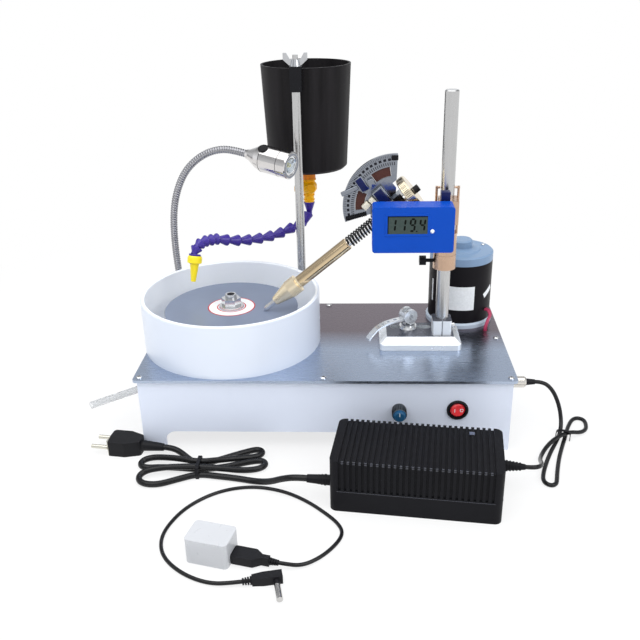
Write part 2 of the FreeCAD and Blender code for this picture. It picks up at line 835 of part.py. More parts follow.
def build_bowl():
    """The white splash bowl and the clear drain tube that leaves it."""
    hub_inner = dim.spindle_neck + 2 * dim.belt_gap
    hub_outer = hub_inner + dim.hub_wall
    inner = dim.bowl_radius - dim.bowl_wall
    lip = dim.bowl_height - dim.bowl_chamfer
    profile = [
        (hub_inner, 0), (dim.bowl_radius, 0), (dim.bowl_radius, lip),
        (dim.bowl_radius - dim.bowl_chamfer, dim.bowl_height),
        (inner + dim.bowl_chamfer, dim.bowl_height), (inner, lip), (inner, dim.bowl_floor),
        (hub_outer, dim.bowl_floor), (hub_outer, dim.hub_height), (hub_inner, dim.hub_height),
    ]
    blank = lathe("bowl_blank", profile, (dim.bowl_x, dim.bowl_y, dim.deck_height))
    drain = cylinder("bowl_drain", dim.drain_radius + dim.shaft_gap, dim.bowl_floor * 3,
                     (dim.drain_x, dim.drain_y, dim.deck_height - dim.bowl_floor))
    node("splash_bowl", cut("splash_bowl", blank, drain))

    x = dim.drain_x.number
    y = dim.drain_y.number
    bend = PLATE_UNDER - dim.drain_drop
    mouth = dim.drain_x - dim.drain_run
    route = [
        (x, y, (dim.deck_height + dim.bowl_floor).number),
        (x, y, bend.number),
        (mouth.number, y, drain_height(mouth).number),
    ]
    tube, _ = route_tube("drain_tube", route, dim.drain_radius, dim.drain_bore)
    node("drain_tube", tube)


def build_spindle():
    """The lap on its spindle, the bearing housing and the driven pulley."""
    low = PULLEY_LEVEL - dim.pulley_groove / 2 - dim.rim_width
    neck_low = PLATE_UNDER - dim.touch_gap - dim.housing_flange_thick / 2
    platen_low = LAP_UNDER - dim.platen_thick
    stud_top = LAP_TOP + dim.stud_rise
    profile = [
        (0, low), (dim.spindle_radius, low), (dim.spindle_radius, neck_low),
        (dim.spindle_neck, neck_low), (dim.spindle_neck, platen_low),
        (dim.platen_radius, platen_low), (dim.platen_radius, LAP_UNDER),
        (dim.stud_radius, LAP_UNDER), (dim.stud_radius, stud_top - 1),
        (dim.stud_radius - 1, stud_top), (0, stud_top),
    ]
    spot = (dim.bowl_x, dim.bowl_y)
    node("spindle", lathe("spindle", profile, (*spot, 0)))

    edge = dim.lap_thick / 6
    lap_profile = [
        (dim.stud_radius, 0), (dim.lap_radius - edge, 0), (dim.lap_radius, edge),
        (dim.lap_radius, dim.lap_thick - edge), (dim.lap_radius - edge, dim.lap_thick),
        (dim.stud_radius, dim.lap_thick),
    ]
    node("lap_disc", lathe("lap_disc", lap_profile, (*spot, LAP_UNDER)))

    flange = cylinder("nut_flange", dim.nut_flange_radius, dim.nut_flange_thick, (*spot, LAP_TOP))
    grip = hexagon("nut_grip", dim.nut_across_corners / 2, dim.nut_height,
                   (*spot, LAP_TOP + dim.nut_flange_thick))
    thread = cylinder("nut_thread", dim.stud_radius, dim.stud_rise * 2, (*spot, LAP_TOP - dim.stud_rise / 2))
    node("lap_nut", cut("lap_nut", fuse("nut_blank", flange, grip), thread))

    flange_low = PLATE_UNDER - dim.housing_flange_thick
    lip_radius = dim.spindle_neck + 2 * dim.belt_gap
    lip_low = PLATE_UNDER - dim.housing_flange_thick / 2
    housing = [
        (dim.bearing_radius, HOUSING_LOW), (dim.housing_radius, HOUSING_LOW),
        (dim.housing_radius, flange_low), (dim.housing_flange_radius, flange_low),
        (dim.housing_flange_radius, PLATE_UNDER), (lip_radius, PLATE_UNDER),
        (lip_radius, lip_low), (dim.bearing_radius, lip_low),
    ]
    shell = lathe("housing_shell", housing, (*spot, 0))
    bearings = []
    for index, bottom in enumerate((HOUSING_LOW, lip_low - dim.bearing_width - 2 * dim.belt_gap)):
        ring = cylinder(f"bearing_ring_{index}", dim.bearing_radius, dim.bearing_width, (*spot, bottom))
        bore = cylinder(f"bearing_bore_{index}", dim.spindle_radius + dim.shaft_gap,
                        dim.bearing_width * 3, (*spot, bottom - dim.bearing_width))
        bearings.append(cut(f"bearing_{index}", ring, bore))
    node("spindle_housing", group("spindle_housing", shell, *bearings))
    node("driven_pulley", pulley("driven_pulley", dim.lap_pulley_radius, dim.spindle_radius, spot))


def pulley(name, groove_radius, bore, spot):
    """A flanged belt pulley at the level of the belt."""
    low = -dim.pulley_groove / 2
    high = dim.pulley_groove / 2
    rim = groove_radius + dim.pulley_rim
    profile = [
        (bore, low - dim.rim_width), (rim, low - dim.rim_width), (rim, low), (groove_radius, low),
        (groove_radius, high), (rim, high), (rim, high + dim.rim_width), (bore, high + dim.rim_width),
    ]
    return lathe(name, profile, (*spot, PULLEY_LEVEL))


def belt_outline(lap_radius, motor_radius):
    """The closed line of a belt that runs round both pulleys."""
    lap = Vector(dim.bowl_x.number, dim.bowl_y.number, 0)
    motor = Vector(MOTOR_X.number, dim.motor_y.number, 0)
    between = motor - lap
    heading = math.atan2(between.y, between.x)
    spread = math.acos((lap_radius - motor_radius) / between.Length)

    def spot(centre, radius, angle):
        return centre + Vector(math.cos(angle), math.sin(angle), 0) * radius

    high, low = heading + spread, heading - spread
    return Part.Wire([
        Part.Arc(spot(lap, lap_radius, high), spot(lap, lap_radius, heading + math.pi),
                 spot(lap, lap_radius, low)).toShape(),
        Part.LineSegment(spot(lap, lap_radius, low), spot(motor, motor_radius, low)).toShape(),
        Part.Arc(spot(motor, motor_radius, low), spot(motor, motor_radius, heading),
                 spot(motor, motor_radius, high)).toShape(),
        Part.LineSegment(spot(motor, motor_radius, high), spot(lap, lap_radius, high)).toShape(),
    ])


def build_drive():
    """The motor, its leads and the belt."""
    gap = dim.belt_gap.number
    thick = dim.belt_thick.number
    lap_radius = dim.lap_pulley_radius.number + gap
    motor_radius = dim.motor_pulley_radius.number + gap
    outside = Part.Face(belt_outline(lap_radius + thick, motor_radius + thick))
    face = outside.cut(Part.Face(belt_outline(lap_radius, motor_radius)))
    belt = feature("drive_belt", face.extrude(Vector(0, 0, dim.belt_width.number)))
    place(belt, (0, 0, PULLEY_LEVEL - dim.belt_width / 2))
    node("drive_belt", belt)

    spot = (MOTOR_X, dim.motor_y)
    flange_top = dim.deck_height + dim.motor_flange_height
    can_top = flange_top + dim.motor_length
    bearing = dim.motor_shaft_radius + dim.shaft_gap
    flange = [
        (bearing, 0), (dim.motor_flange_radius, 0),
        (dim.motor_flange_radius, dim.motor_flange_height * 0.7),
        (dim.motor_radius, dim.motor_flange_height), (bearing, dim.motor_flange_height),
    ]
    pocket = dim.motor_cap_height * 0.6
    step_top = dim.motor_cap_height + dim.motor_cap_step
    edge = dim.motor_cap_step / 2
    cap = [
        (bearing, 0), (dim.motor_radius, 0), (dim.motor_radius, dim.motor_cap_height - edge),
        (dim.motor_radius - edge, dim.motor_cap_height),
        (dim.motor_step_radius, dim.motor_cap_height),
        (dim.motor_step_radius - edge, step_top - edge), (dim.motor_boss_radius, step_top),
        (dim.motor_boss_radius, step_top + dim.motor_boss_height - edge),
        (dim.motor_boss_radius - edge, step_top + dim.motor_boss_height),
        (0, step_top + dim.motor_boss_height), (0, pocket), (bearing, pocket),
    ]
    node("motor_ends", group("motor_ends",
                             lathe("motor_flange", flange, (*spot, dim.deck_height)),
                             lathe("motor_cap", cap, (*spot, can_top))))
    wall = dim.motor_radius - dim.motor_wall
    can = [(wall, 0), (dim.motor_radius, 0), (dim.motor_radius, dim.motor_length), (wall, dim.motor_length)]
    node("motor_can", lathe("motor_can", can, (*spot, flange_top)))

    shaft_low = PULLEY_LEVEL - dim.pulley_groove / 2 - dim.rim_width
    core_low = flange_top + (dim.motor_length - dim.armature_length) / 2
    rotor = [
        (0, shaft_low), (dim.motor_shaft_radius, shaft_low), (dim.motor_shaft_radius, core_low),
        (dim.armature_radius, core_low), (dim.armature_radius, core_low + dim.armature_length),
        (dim.motor_shaft_radius, core_low + dim.armature_length),
        (dim.motor_shaft_radius, can_top + pocket - dim.touch_gap), (0, can_top + pocket - dim.touch_gap),
    ]
    node("motor_rotor", lathe("motor_rotor", rotor, (*spot, 0)))
    node("motor_pulley", pulley("motor_pulley", dim.motor_pulley_radius, dim.motor_shaft_radius, spot))

    leads = []
    for index, side in enumerate((-1, 1)):
        start = lead_start(side)
        route = [tuple(start)] + [tuple(start + Vector(*step)) for step in LEAD_ROUTE]
        leads.append(route_tube(f"lead_{index}", route, dim.lead_radius)[0])
    node("motor_leads", group("motor_leads", *leads))


def lead_start(side):
    """Where a motor lead leaves the can; side is -1 or 1."""
    radius = dim.motor_radius.number + dim.touch_gap.number
    angle = math.radians(-LEAD_EXIT[0])
    spread = side * 1.15 * dim.lead_radius.number
    return Vector(
        MOTOR_X.number + radius * math.cos(angle) + spread * math.sin(-angle),
        dim.motor_y.number + radius * math.sin(angle) + spread * math.cos(angle),
        dim.deck_height.number + LEAD_EXIT[1],
    )


def lead_hole_place():
    """The hole in the deck that the motor leads go down."""
    middle = (lead_start(-1) + lead_start(1)) * 0.5 + Vector(*LEAD_ROUTE[-1])
    return middle.x, middle.y


def build_controls():
    """Speed knob and its board, rocker switch and power socket."""
    face = -FRONT_FACE
    behind = face + dim.panel_thick
    spot = (dim.knob_x, face - dim.touch_gap, dim.control_level)
    shaft_end = dim.panel_thick + dim.pot_depth * 0.7
    profile = [
        (0, -shaft_end), (dim.knob_shaft_radius, -shaft_end), (dim.knob_shaft_radius, 0),
        (dim.knob_radius, 0), (dim.knob_radius - 0.6, dim.knob_length), (0, dim.knob_length),
    ]
    skirt = lathe("knob_skirt", profile, spot, AGAINST_Y)
    cap = lathe("knob_cap", [
        (0, 0), (dim.knob_cap_radius, 0), (dim.knob_cap_radius, dim.knob_cap_length * 0.7),
        (dim.knob_cap_radius * 0.8, dim.knob_cap_length), (0, dim.knob_cap_length),
    ], (spot[0], spot[1] - dim.knob_length, spot[2]), AGAINST_Y)
    node("speed_knob", group("speed_knob", skirt, cap))

    pot = cylinder("pot_body", dim.pot_radius, dim.pot_depth, (dim.knob_x, behind, dim.control_level), ALONG_Y)
    pot_bore = cylinder("pot_bore", dim.knob_shaft_radius + dim.shaft_gap, dim.pot_depth * 0.8,
                        (dim.knob_x, behind, dim.control_level), ALONG_Y)
    board_y = behind + dim.pot_depth
    board = cuboid("board", dim.board_length, dim.board_thick, dim.board_height,
                   (dim.knob_x - dim.board_length / 2, board_y, dim.control_level - dim.board_height / 2))
    sink = cuboid("heat_sink", dim.board_length / 2, dim.heat_sink_depth, dim.board_height / 2,
                  (dim.knob_x - dim.board_length / 4, board_y + dim.board_thick,
                   dim.control_level - dim.board_height / 4))
    node("speed_control", group("speed_control", cut("pot", pot, pot_bore), board, sink))

    spot = (dim.switch_x, face, dim.control_level)
    body = lathe("switch_blank", [
        (0, -dim.switch_depth), (dim.switch_radius, -dim.switch_depth), (dim.switch_radius, 0),
        (dim.bezel_radius, 0), (dim.bezel_radius, dim.bezel_proud * 0.5),
        (dim.bezel_radius - dim.bezel_proud * 0.5, dim.bezel_proud), (0, dim.bezel_proud),
    ], spot, AGAINST_Y)
    recess_depth = dim.rocker_thick + dim.bezel_proud * 2
    recess = cylinder("switch_recess", dim.rocker_recess, recess_depth * 2,
                      (spot[0], face + recess_depth - dim.bezel_proud, spot[2]), AGAINST_Y)
    pin_y = face + recess_depth / 3
    pin_length = dim.switch_radius * 2 - 1
    pin_low = dim.control_level - pin_length / 2
    pin_bore = cylinder("rocker_bore", dim.rocker_pin + dim.shaft_gap, pin_length + 2 * dim.touch_gap,
                        (spot[0], pin_y, pin_low - dim.touch_gap))
    node("switch_body", cut("switch_body", body, recess, pin_bore))

    lean = Rotation(Vector(0, 0, 1), dim.rocker_lean.number) * AGAINST_Y
    crown = lathe("rocker_crown", [
        (0, -dim.rocker_thick / 2), (dim.rocker_radius, -dim.rocker_thick / 2),
        (dim.rocker_radius, dim.rocker_thick * 0.7), (dim.rocker_radius * 0.8, dim.rocker_thick),
        (0, dim.rocker_thick * 0.9),
    ], (spot[0], pin_y, spot[2]), lean)
    pin = cylinder("rocker_pin", dim.rocker_pin, pin_length, (spot[0], pin_y, pin_low))
    node("switch_rocker", fuse("switch_rocker", crown, pin))

    spot = (SIDE_FACE, dim.socket_y, dim.socket_level)
    collar = dim.panel_thick * 0.6
    node("power_socket", lathe("power_socket", [
        (0, -dim.panel_thick * 2), (dim.socket_radius, -dim.panel_thick * 2), (dim.socket_radius, 0),
        (dim.socket_flange, 0), (dim.socket_flange, collar), (dim.socket_radius, collar),
        (dim.socket_radius, collar * 2), (0, collar * 2),
    ], spot, ALONG_X))
    cord = dim.dc_cord_radius
    nose = collar * 2
    end = DC_ROUTE[0][0] - SIDE_FACE
    grip = end - dim.plug_boot_length
    node("power_plug", lathe("power_plug", [
        (0, nose), (dim.plug_radius, nose), (dim.plug_radius, grip - 2), (dim.plug_radius - 1.2, grip),
        (cord * 1.7, grip), (cord * 1.25, end), (0, end),
    ], spot, ALONG_X))


def build_mast():
    """The sliding foot with its mast, the clamp that holds it down, and the stop collar."""
    left = dim.mast_x - dim.foot_left
    right = dim.mast_x + dim.foot_right
    front = dim.mast_y - dim.foot_front
    back = dim.mast_y + dim.foot_back
    plate = slab("foot_plate", "XY_Plane", rectangle(left, front, right, back), dim.foot_thick,
                 (0, 0, FOOT_LOW), rounds=[(dim.foot_corner, (0, 1, 2, 3))])
    bevelled = cut("foot_bevelled", plate, *foot_bevels(left, front, right, back))
    half = dim.clamp_width / 2
    block = slab("foot_clamp", "XY_Plane",
                 rectangle(dim.mast_x - half, dim.mast_y - half, dim.mast_x + half, dim.mast_y + half),
                 dim.clamp_height + dim.touch_gap, (0, 0, FOOT_TOP - dim.touch_gap),
                 rounds=[(dim.foot_corner / 2, (0, 1, 2, 3))])
    bore = cylinder("mast_bore", dim.mast_radius, dim.foot_thick + dim.clamp_height + dim.mast_radius,
                    (dim.mast_x, dim.mast_y, FOOT_LOW))
    slit = cuboid("clamp_slit", dim.clamp_slit, dim.clamp_width, dim.clamp_height * 2,
                  (dim.mast_x - dim.clamp_slit / 2, dim.mast_y - dim.clamp_width, FOOT_TOP))
    slot_x = left + dim.slot_middle - dim.slot_length / 2
    slot_radius = dim.slot_width / 2
    slot = fuse("foot_slot",
                cuboid("slot_run", dim.slot_length - dim.slot_width, dim.slot_width, dim.foot_thick * 3,
                       (slot_x + slot_radius, dim.clamp_y - slot_radius, FOOT_LOW - dim.foot_thick)),
                cylinder("slot_left", slot_radius, dim.foot_thick * 3,
                         (slot_x + slot_radius, dim.clamp_y, FOOT_LOW - dim.foot_thick)),
                cylinder("slot_right", slot_radius, dim.foot_thick * 3,
                         (slot_x + dim.slot_length - slot_radius, dim.clamp_y, FOOT_LOW - dim.foot_thick)))
    node("mast_foot", cut("mast_foot", fuse("foot_blank", bevelled, block), bore, slit, slot))

    mast_top = dim.deck_height + dim.mast_rise
    node("mast_rod", lathe("mast_rod", [
        (0, FOOT_LOW), (dim.mast_radius, FOOT_LOW), (dim.mast_radius, mast_top - 1),
        (dim.mast_radius - 1, mast_top), (0, mast_top),
    ], (dim.mast_x, dim.mast_y, 0)))

    spot = (dim.clamp_x, dim.clamp_y)
    washer_low = FOOT_TOP + dim.touch_gap
    stack_top = CAM_Z - dim.cam_radius - dim.touch_gap
    nut_low = PLATE_UNDER - dim.rod_nut_height
    turned = lathe("stud_turned", [
        (0, nut_low - 3), (dim.clamp_stud_radius, nut_low - 3), (dim.clamp_stud_radius, nut_low),
        (dim.rod_nut_radius, nut_low), (dim.rod_nut_radius, PLATE_UNDER),
        (dim.clamp_stud_radius, PLATE_UNDER), (dim.clamp_stud_radius, washer_low),
        (dim.washer_radius, washer_low), (dim.washer_radius - 0.8, washer_low + dim.washer_thick),
        (dim.stack_radius, washer_low + dim.washer_thick), (dim.stack_radius, stack_top), (0, stack_top),
    ], (*spot, 0))
    half_tongue = dim.tongue_width / 2
    tongue_size = dim.cam_radius * 1.2
    tongue = cuboid("stud_tongue", tongue_size, dim.tongue_width, dim.cam_radius * 1.5,
                    (*lever_place(-tongue_size / 2, -half_tongue), stack_top), LEVER_TURN)
    pin = cylinder("cam_pin", dim.cam_pin_radius, dim.cam_width,
                   (*lever_place(0, dim.cam_width / -2), CAM_Z), LEVER_TURN * ALONG_Y)
    node("clamp_stud", fuse("clamp_stud", turned, tongue, pin))
    build_lever()

    spot = (dim.mast_x, dim.mast_y)
    ring = lathe("collar_ring", [
        (dim.mast_radius + dim.shaft_gap, 0), (dim.collar_radius, 0),
        (dim.collar_radius, dim.collar_height), (dim.mast_radius + dim.shaft_gap, dim.collar_height),
    ], (*spot, COLLAR_LOW))
    thread = cylinder("collar_thread", dim.collar_screw_radius + dim.shaft_gap, dim.collar_radius * 2,
                      (*spot, COLLAR_SCREW_Z), AGAINST_X)
    node("stop_collar", cut("stop_collar", ring, thread))
    tip = dim.mast_radius + 2 * dim.shaft_gap
    neck = dim.collar_radius + dim.collar_screw_neck
    node("collar_screw", lathe("collar_screw", [
        (0, tip), (dim.collar_screw_radius, tip), (dim.collar_screw_radius, neck),
        (dim.collar_knob_radius, neck), (dim.collar_knob_radius, neck + dim.collar_knob_length),
        (0, neck + dim.collar_knob_length),
    ], (*spot, COLLAR_SCREW_Z), AGAINST_X))


def foot_bevels(left, front, right, back):
    """Sloped cutters for the four upper edges of the foot."""
    lean = dim.foot_bevel_lean
    rise = dim.foot_bevel_rise
    low = FOOT_TOP - rise
    reach = rise * 4
    inward = reach * cosine(lean)
    high = low + reach * sine(lean)
    wide = dim.foot_left + dim.foot_right + 2 * rise
    deep = dim.foot_front + dim.foot_back + 2 * rise
    x_axis = Vector(1, 0, 0)
    y_axis = Vector(0, 1, 0)
    turn = lean.number
    return [
        cuboid("bevel_front", wide, reach, reach, (left - rise, front, low), Rotation(x_axis, turn)),
        cuboid("bevel_back", wide, reach, reach, (left - rise, back - inward, high), Rotation(x_axis, -turn)),
        cuboid("bevel_left", reach, deep, reach, (left, front - rise, low), Rotation(y_axis, -turn)),
        cuboid("bevel_right", reach, deep, reach, (right - inward, front - rise, high), Rotation(y_axis, turn)),
    ]


def lever_place(along, across):
    """A spot beside the clamp stud, turned with the lever."""
    return (
        dim.clamp_x + along * cosine(dim.lever_swing) - across * sine(dim.lever_swing),
        dim.clamp_y + along * sine(dim.lever_swing) + across * cosine(dim.lever_swing),
    )


def build_lever():
    """The cam lever: two cam cheeks joined by a bent strap with three holes."""
    radius = dim.cam_radius
    reach = dim.lever_reach
    thick = dim.lever_thick
    barrel = cylinder("cam_barrel", radius, dim.cam_width,
                      (*lever_place(0, dim.cam_width / -2), CAM_Z), LEVER_TURN * ALONG_Y)
    bends = [(0.10, 0.0), (0.38, 0.03), (0.57, 0.10), (0.70, 0.22), (0.80, 0.38), (0.90, 0.65), (1.0, 1.0)]
    upper = [(-reach * along, dim.cam_radius * -0.18 - dim.lever_drop * drop) for along, drop in bends]
    lower = [(along, high - thick) for along, high in reversed(upper)]
    half = dim.lever_width / 2
    strap = slab("lever_strap", "XZ_Plane", upper + lower, dim.lever_width,
                 (*lever_place(0, half), CAM_Z), LEVER_TURN)
    pin_bore = cylinder("lever_bore", dim.cam_pin_radius + dim.shaft_gap, dim.cam_width * 2,
                        (*lever_place(0, -dim.cam_width), CAM_Z), LEVER_TURN * ALONG_Y)
    slot = dim.tongue_width + 4 * dim.touch_gap
    fork = cuboid("lever_fork", radius * 3, slot, radius * 4,
                  (*lever_place(-radius * 0.8, -slot / 2), CAM_Z - radius * 2), LEVER_TURN)
    holes = [
        cylinder(f"lever_hole_{index}", dim.lever_width * share, dim.lever_drop * 3,
                 (*lever_place(-reach * along, 0), CAM_Z - dim.lever_drop * 2))
        for index, (along, share) in enumerate(((0.33, 0.27), (0.5, 0.22), (0.63, 0.17)))
    ]
    node("cam_lever", cut("cam_lever", fuse("lever_blank", barrel, strap), pin_bore, fork, *holes))


def build_carriage():
    """The sleeve on the mast, its bracket, and the angle display."""
    spot = (dim.mast_x, dim.mast_y)
    bore = dim.mast_radius + dim.shaft_gap
    step = SLEEVE_LOW + dim.sleeve_step
    sleeve = lathe("sleeve_turned", [
        (bore, SLEEVE_LOW), (dim.sleeve_low_radius, SLEEVE_LOW), (dim.sleeve_low_radius, step),
        (dim.sleeve_radius, step), (dim.sleeve_radius, SLEEVE_TOP), (bore, SLEEVE_TOP),
    ], (*spot, 0))
    case_back = dim.mast_y - dim.case_back
    half = dim.sleeve_low_radius * 0.8
    bracket_low = HUB_Z - dim.bracket_drop
    bracket_high = HUB_Z + dim.bracket_drop * 0.75
    boss = cuboid("sleeve_boss", half * 2, dim.case_back, bracket_high - bracket_low,
                  (dim.mast_x - half, case_back, bracket_low))
    plate = cuboid("sleeve_bracket", dim.hub_reach + dim.axle_radius * 2.5, dim.bracket_thick,
                   bracket_high - bracket_low, (HUB_X - dim.axle_radius * 2.5, case_back, bracket_low))
    mast_way = cylinder("boss_bore", bore, dim.mast_rise, (*spot, dim.deck_height))
    axle_bore = cylinder("axle_bore", dim.axle_radius + dim.shaft_gap, dim.bracket_thick * 3,
                         (HUB_X, case_back - dim.bracket_thick, HUB_Z), ALONG_Y)
    blank = fuse("sleeve_blank", sleeve, boss, plate, *bail_wires(step))
    node("carriage_sleeve", cut("carriage_sleeve", blank, mast_way, axle_bore))

    case_x = dim.mast_x - dim.case_left
    case_z = HUB_Z - dim.case_below
    case = slab("case_blank", "XZ_Plane",
                rectangle(case_x, case_z, case_x + dim.case_width, case_z + dim.case_height),
                dim.case_depth, (0, case_back, 0), rounds=[(dim.case_corner, (0, 1, 2, 3))])
    case_face = case_back - dim.case_depth
    lcd_x = HUB_X - dim.lcd_right
    lcd_z = HUB_Z + dim.lcd_above - dim.lcd_height
    window = cuboid("lcd_window", dim.lcd_width, dim.lcd_depth * 2, dim.lcd_height,
                    (lcd_x, case_face - dim.lcd_depth, lcd_z))
    button_x = lcd_x + dim.lcd_width + dim.button_radius * 2.4
    button_z = lcd_z + dim.button_radius * 1.5
    button_depth = dim.button_proud * 3
    well = cylinder("button_well", dim.button_radius + dim.shaft_gap, button_depth * 2,
                    (button_x, case_face + button_depth, button_z), AGAINST_Y)
    node("display_case", cut("display_case", case, window, well))
    node("display_lcd", cuboid("display_lcd", dim.lcd_width, dim.lcd_depth - dim.touch_gap, dim.lcd_height,
                               (lcd_x, case_face + dim.touch_gap, lcd_z)))
    rest = button_depth - dim.button_proud - dim.touch_gap
    node("display_button", lathe("display_button", [
        (0, 0), (dim.button_radius, 0), (dim.button_radius, rest + dim.button_proud * 0.6),
        (dim.button_radius * 0.6, rest + dim.button_proud), (0, rest + dim.button_proud),
    ], (button_x, case_face + rest, button_z), AGAINST_Y))


def bail_wires(step):
    """Two wire hooks that stand on the shoulder of the sleeve, one each side of the mast."""
    radius = dim.bail_radius
    low = step - radius * 2
    high = HUB_Z + dim.bail_rise
    wires = []
    for name, side, turn in (("left", -1, ALONG_X), ("right", 1, AGAINST_X)):
        x = dim.mast_x + side * dim.bail_reach
        wires.append(cylinder(f"bail_{name}", radius, high - low, (x, dim.mast_y, low)))
        wires.append(cylinder(f"bail_hook_{name}", radius, dim.bail_hook + radius,
                              (x + side * radius, dim.mast_y, high - radius), turn))
    return wires


def build_quill():
    """The swinging head with its angle sector, and the quill that turns in it."""
    tilt_gap = 2 * dim.touch_gap
    length = dim.block_front + dim.block_back
    half = dim.block_width / 2
    corner_x = HUB_X + dim.block_back * cosine(dim.quill_tilt) + half * sine(dim.quill_tilt)
    corner_z = HUB_Z + dim.block_back * sine(dim.quill_tilt) - half * cosine(dim.quill_tilt)
    block = cuboid("block_blank", dim.block_width, dim.block_width, length,
                   (corner_x, dim.mast_y - half, corner_z), QUILL_TURN)
    axle = cylinder("hub_axle", dim.axle_radius, dim.case_back,
                    (HUB_X, dim.mast_y, HUB_Z), AGAINST_Y)
    axle_trim = cuboid("axle_trim", dim.axle_radius * 4, dim.case_depth, dim.axle_radius * 4,
                       (HUB_X - dim.axle_radius * 2,
                        dim.mast_y - dim.case_back - dim.case_depth + tilt_gap,
                        HUB_Z - dim.axle_radius * 2))
    way = cylinder("shaft_way", dim.shaft_radius + dim.shaft_gap, length * 3,
                   on_quill(-length), QUILL_TURN)
    node("quill_block", cut("quill_block", fuse("head_blank", block, axle), axle_trim, way))
    build_sector(block)

    seat = dim.block_front + dim.touch_gap
    node("quill_spring", spring(seat))
    tube_back = dim.block_front + dim.spring_length
    chuck_back = tube_back + dim.tube_length + dim.touch_gap
    tube = lathe("quill_tube", [
        (dim.shaft_radius + dim.shaft_gap, 0), (dim.tube_radius - 0.6, 0), (dim.tube_radius, 0.6),
        (dim.tube_radius, dim.tube_length), (dim.shaft_radius + dim.shaft_gap, dim.tube_length),
    ], on_quill(tube_back), QUILL_TURN)
    node("quill_tube", tube)
    node("quill_shaft", cylinder("quill_shaft", dim.shaft_radius, dim.wheel_back + chuck_back,
                                 on_quill(-dim.wheel_back), QUILL_TURN))

    waist = dim.chuck_length * 0.4
    chuck = lathe("chuck_blank", [
        (0, 0), (dim.tube_radius, 0), (dim.tube_radius, 2), (dim.chuck_radius, 3),
        (dim.chuck_radius, waist), (dim.chuck_nose + 1, dim.chuck_length),
        (0, dim.chuck_length),
    ], on_quill(chuck_back), QUILL_TURN)
    dop_back = chuck_back + dim.chuck_length - dim.dop_seat
    dop_way = cylinder("dop_way", dim.dop_radius, dim.dop_seat * 2, on_quill(dop_back), QUILL_TURN)
    node("quill_chuck", cut("quill_chuck", chuck, dop_way))
    dop_length = dim.quill_reach - dop_back
    node("dop_stick", lathe("dop_stick", [
        (0, 0), (dim.dop_radius, 0), (dim.dop_radius, dop_length - dim.dop_radius * 1.6),
        (0, dop_length),
    ], on_quill(dop_back), QUILL_TURN))

    wheel = lathe("wheel_rim", [
        (dim.shaft_radius, 0), (dim.wheel_radius - 0.8, 0), (dim.wheel_radius, 0.8),
        (dim.wheel_radius, dim.wheel_thick - 0.8), (dim.wheel_radius - 0.8, dim.wheel_thick),
        (dim.shaft_radius, dim.wheel_thick),
    ], on_quill(-dim.wheel_back), QUILL_TURN)
    knob = cylinder("wheel_knob", dim.end_knob_radius, dim.end_knob_length,
                    on_quill(-dim.wheel_back - dim.end_knob_length), QUILL_TURN)
    node("index_wheel", group("index_wheel", wheel, knob))


def build_sector(block):
    """The angle sector: a rim on three spokes, cut to sit on the block."""
    middle = dim.mast_y + dim.sector_thick / 2

    def pie(name, radius, start, span):
        turn = AGAINST_Y * Rotation(Vector(0, 0, 1), start.number)
        return cylinder(name, radius, dim.sector_thick, (HUB_X, middle, HUB_Z), turn, span)

    disc = pie("sector_disc", dim.sector_radius, dim.sector_start, dim.sector_span)
    windows = []
    for index in range(2):
        start = dim.window_start + index * dim.window_step
        opening = pie(f"window_{index}", dim.sector_inner, start, dim.window_span)
        hub = cylinder(f"window_hub_{index}", dim.sector_hub, dim.sector_thick * 3,
                       (HUB_X, middle + dim.sector_thick, HUB_Z), AGAINST_Y)
        windows.append(cut(f"window_cut_{index}", opening, hub))
    wheel_way = cylinder("wheel_way", dim.wheel_radius + dim.wheel_clear, dim.wheel_thick + 2 * dim.wheel_end_clear,
                         on_quill(-dim.wheel_back - dim.wheel_end_clear), QUILL_TURN)
    spring_way = cylinder("spring_way", dim.spring_radius + dim.spring_wire + dim.spring_clear, dim.sector_radius,
                          on_quill(dim.block_front), QUILL_TURN)
    node("angle_sector", cut("angle_sector", disc, block, wheel_way, spring_way, *windows))


def biarc(start, heading, end, end_heading):
    """Two arcs that leave start and reach end with the given headings."""
    between = end - start
    both = heading + end_heading
    square = 2 * (1 - heading.dot(end_heading))
    linear = 2 * between.dot(both)
    reach = (-linear + math.sqrt(linear ** 2 + 4 * square * between.dot(between))) / (2 * square)
    first = start + heading * reach
    second = end - end_heading * reach
    joint = (first + second) * 0.5
    return [arc_through(start, first, joint), arc_through(joint, second, end)]


def spring(seat):
    """The quill spring: one unbroken helix between the block and the tube."""
    radius = dim.spring_radius.number
    wire_radius = dim.spring_wire.number
    turns = dim.spring_turns.number
    seat_rise = wire_radius * 1.3
    rise = dim.spring_length.number - 2 * seat_rise - 4 * dim.touch_gap.number
    steps = int(round(turns * 4))

    def spot(step):
        angle = step * math.pi / 2
        return Vector(radius * math.cos(angle), radius * math.sin(angle), seat_rise + rise * step / steps)

    def heading(step):
        angle = step * math.pi / 2
        across = Vector(-math.sin(angle), math.cos(angle), 0) * (radius * math.pi / 2)
        return (across + Vector(0, 0, rise / steps)).normalize()

    edges = []
    for step in range(steps):
        edges += biarc(spot(step), heading(step), spot(step + 1), heading(step + 1))
    lead = 2 * wire_radius
    edges.insert(0, Part.LineSegment(spot(0) - heading(0) * lead, spot(0)).toShape())
    edges.append(Part.LineSegment(spot(steps), spot(steps) + heading(steps) * lead).toShape())
    helix = Part.Wire(edges)
    thing = feature("quill_spring", swept(helix, wire_radius))
    print(f"quill_spring: gap between turns {rise / turns - 2 * wire_radius:.2f}")
    return place(thing, on_quill(seat), QUILL_TURN)


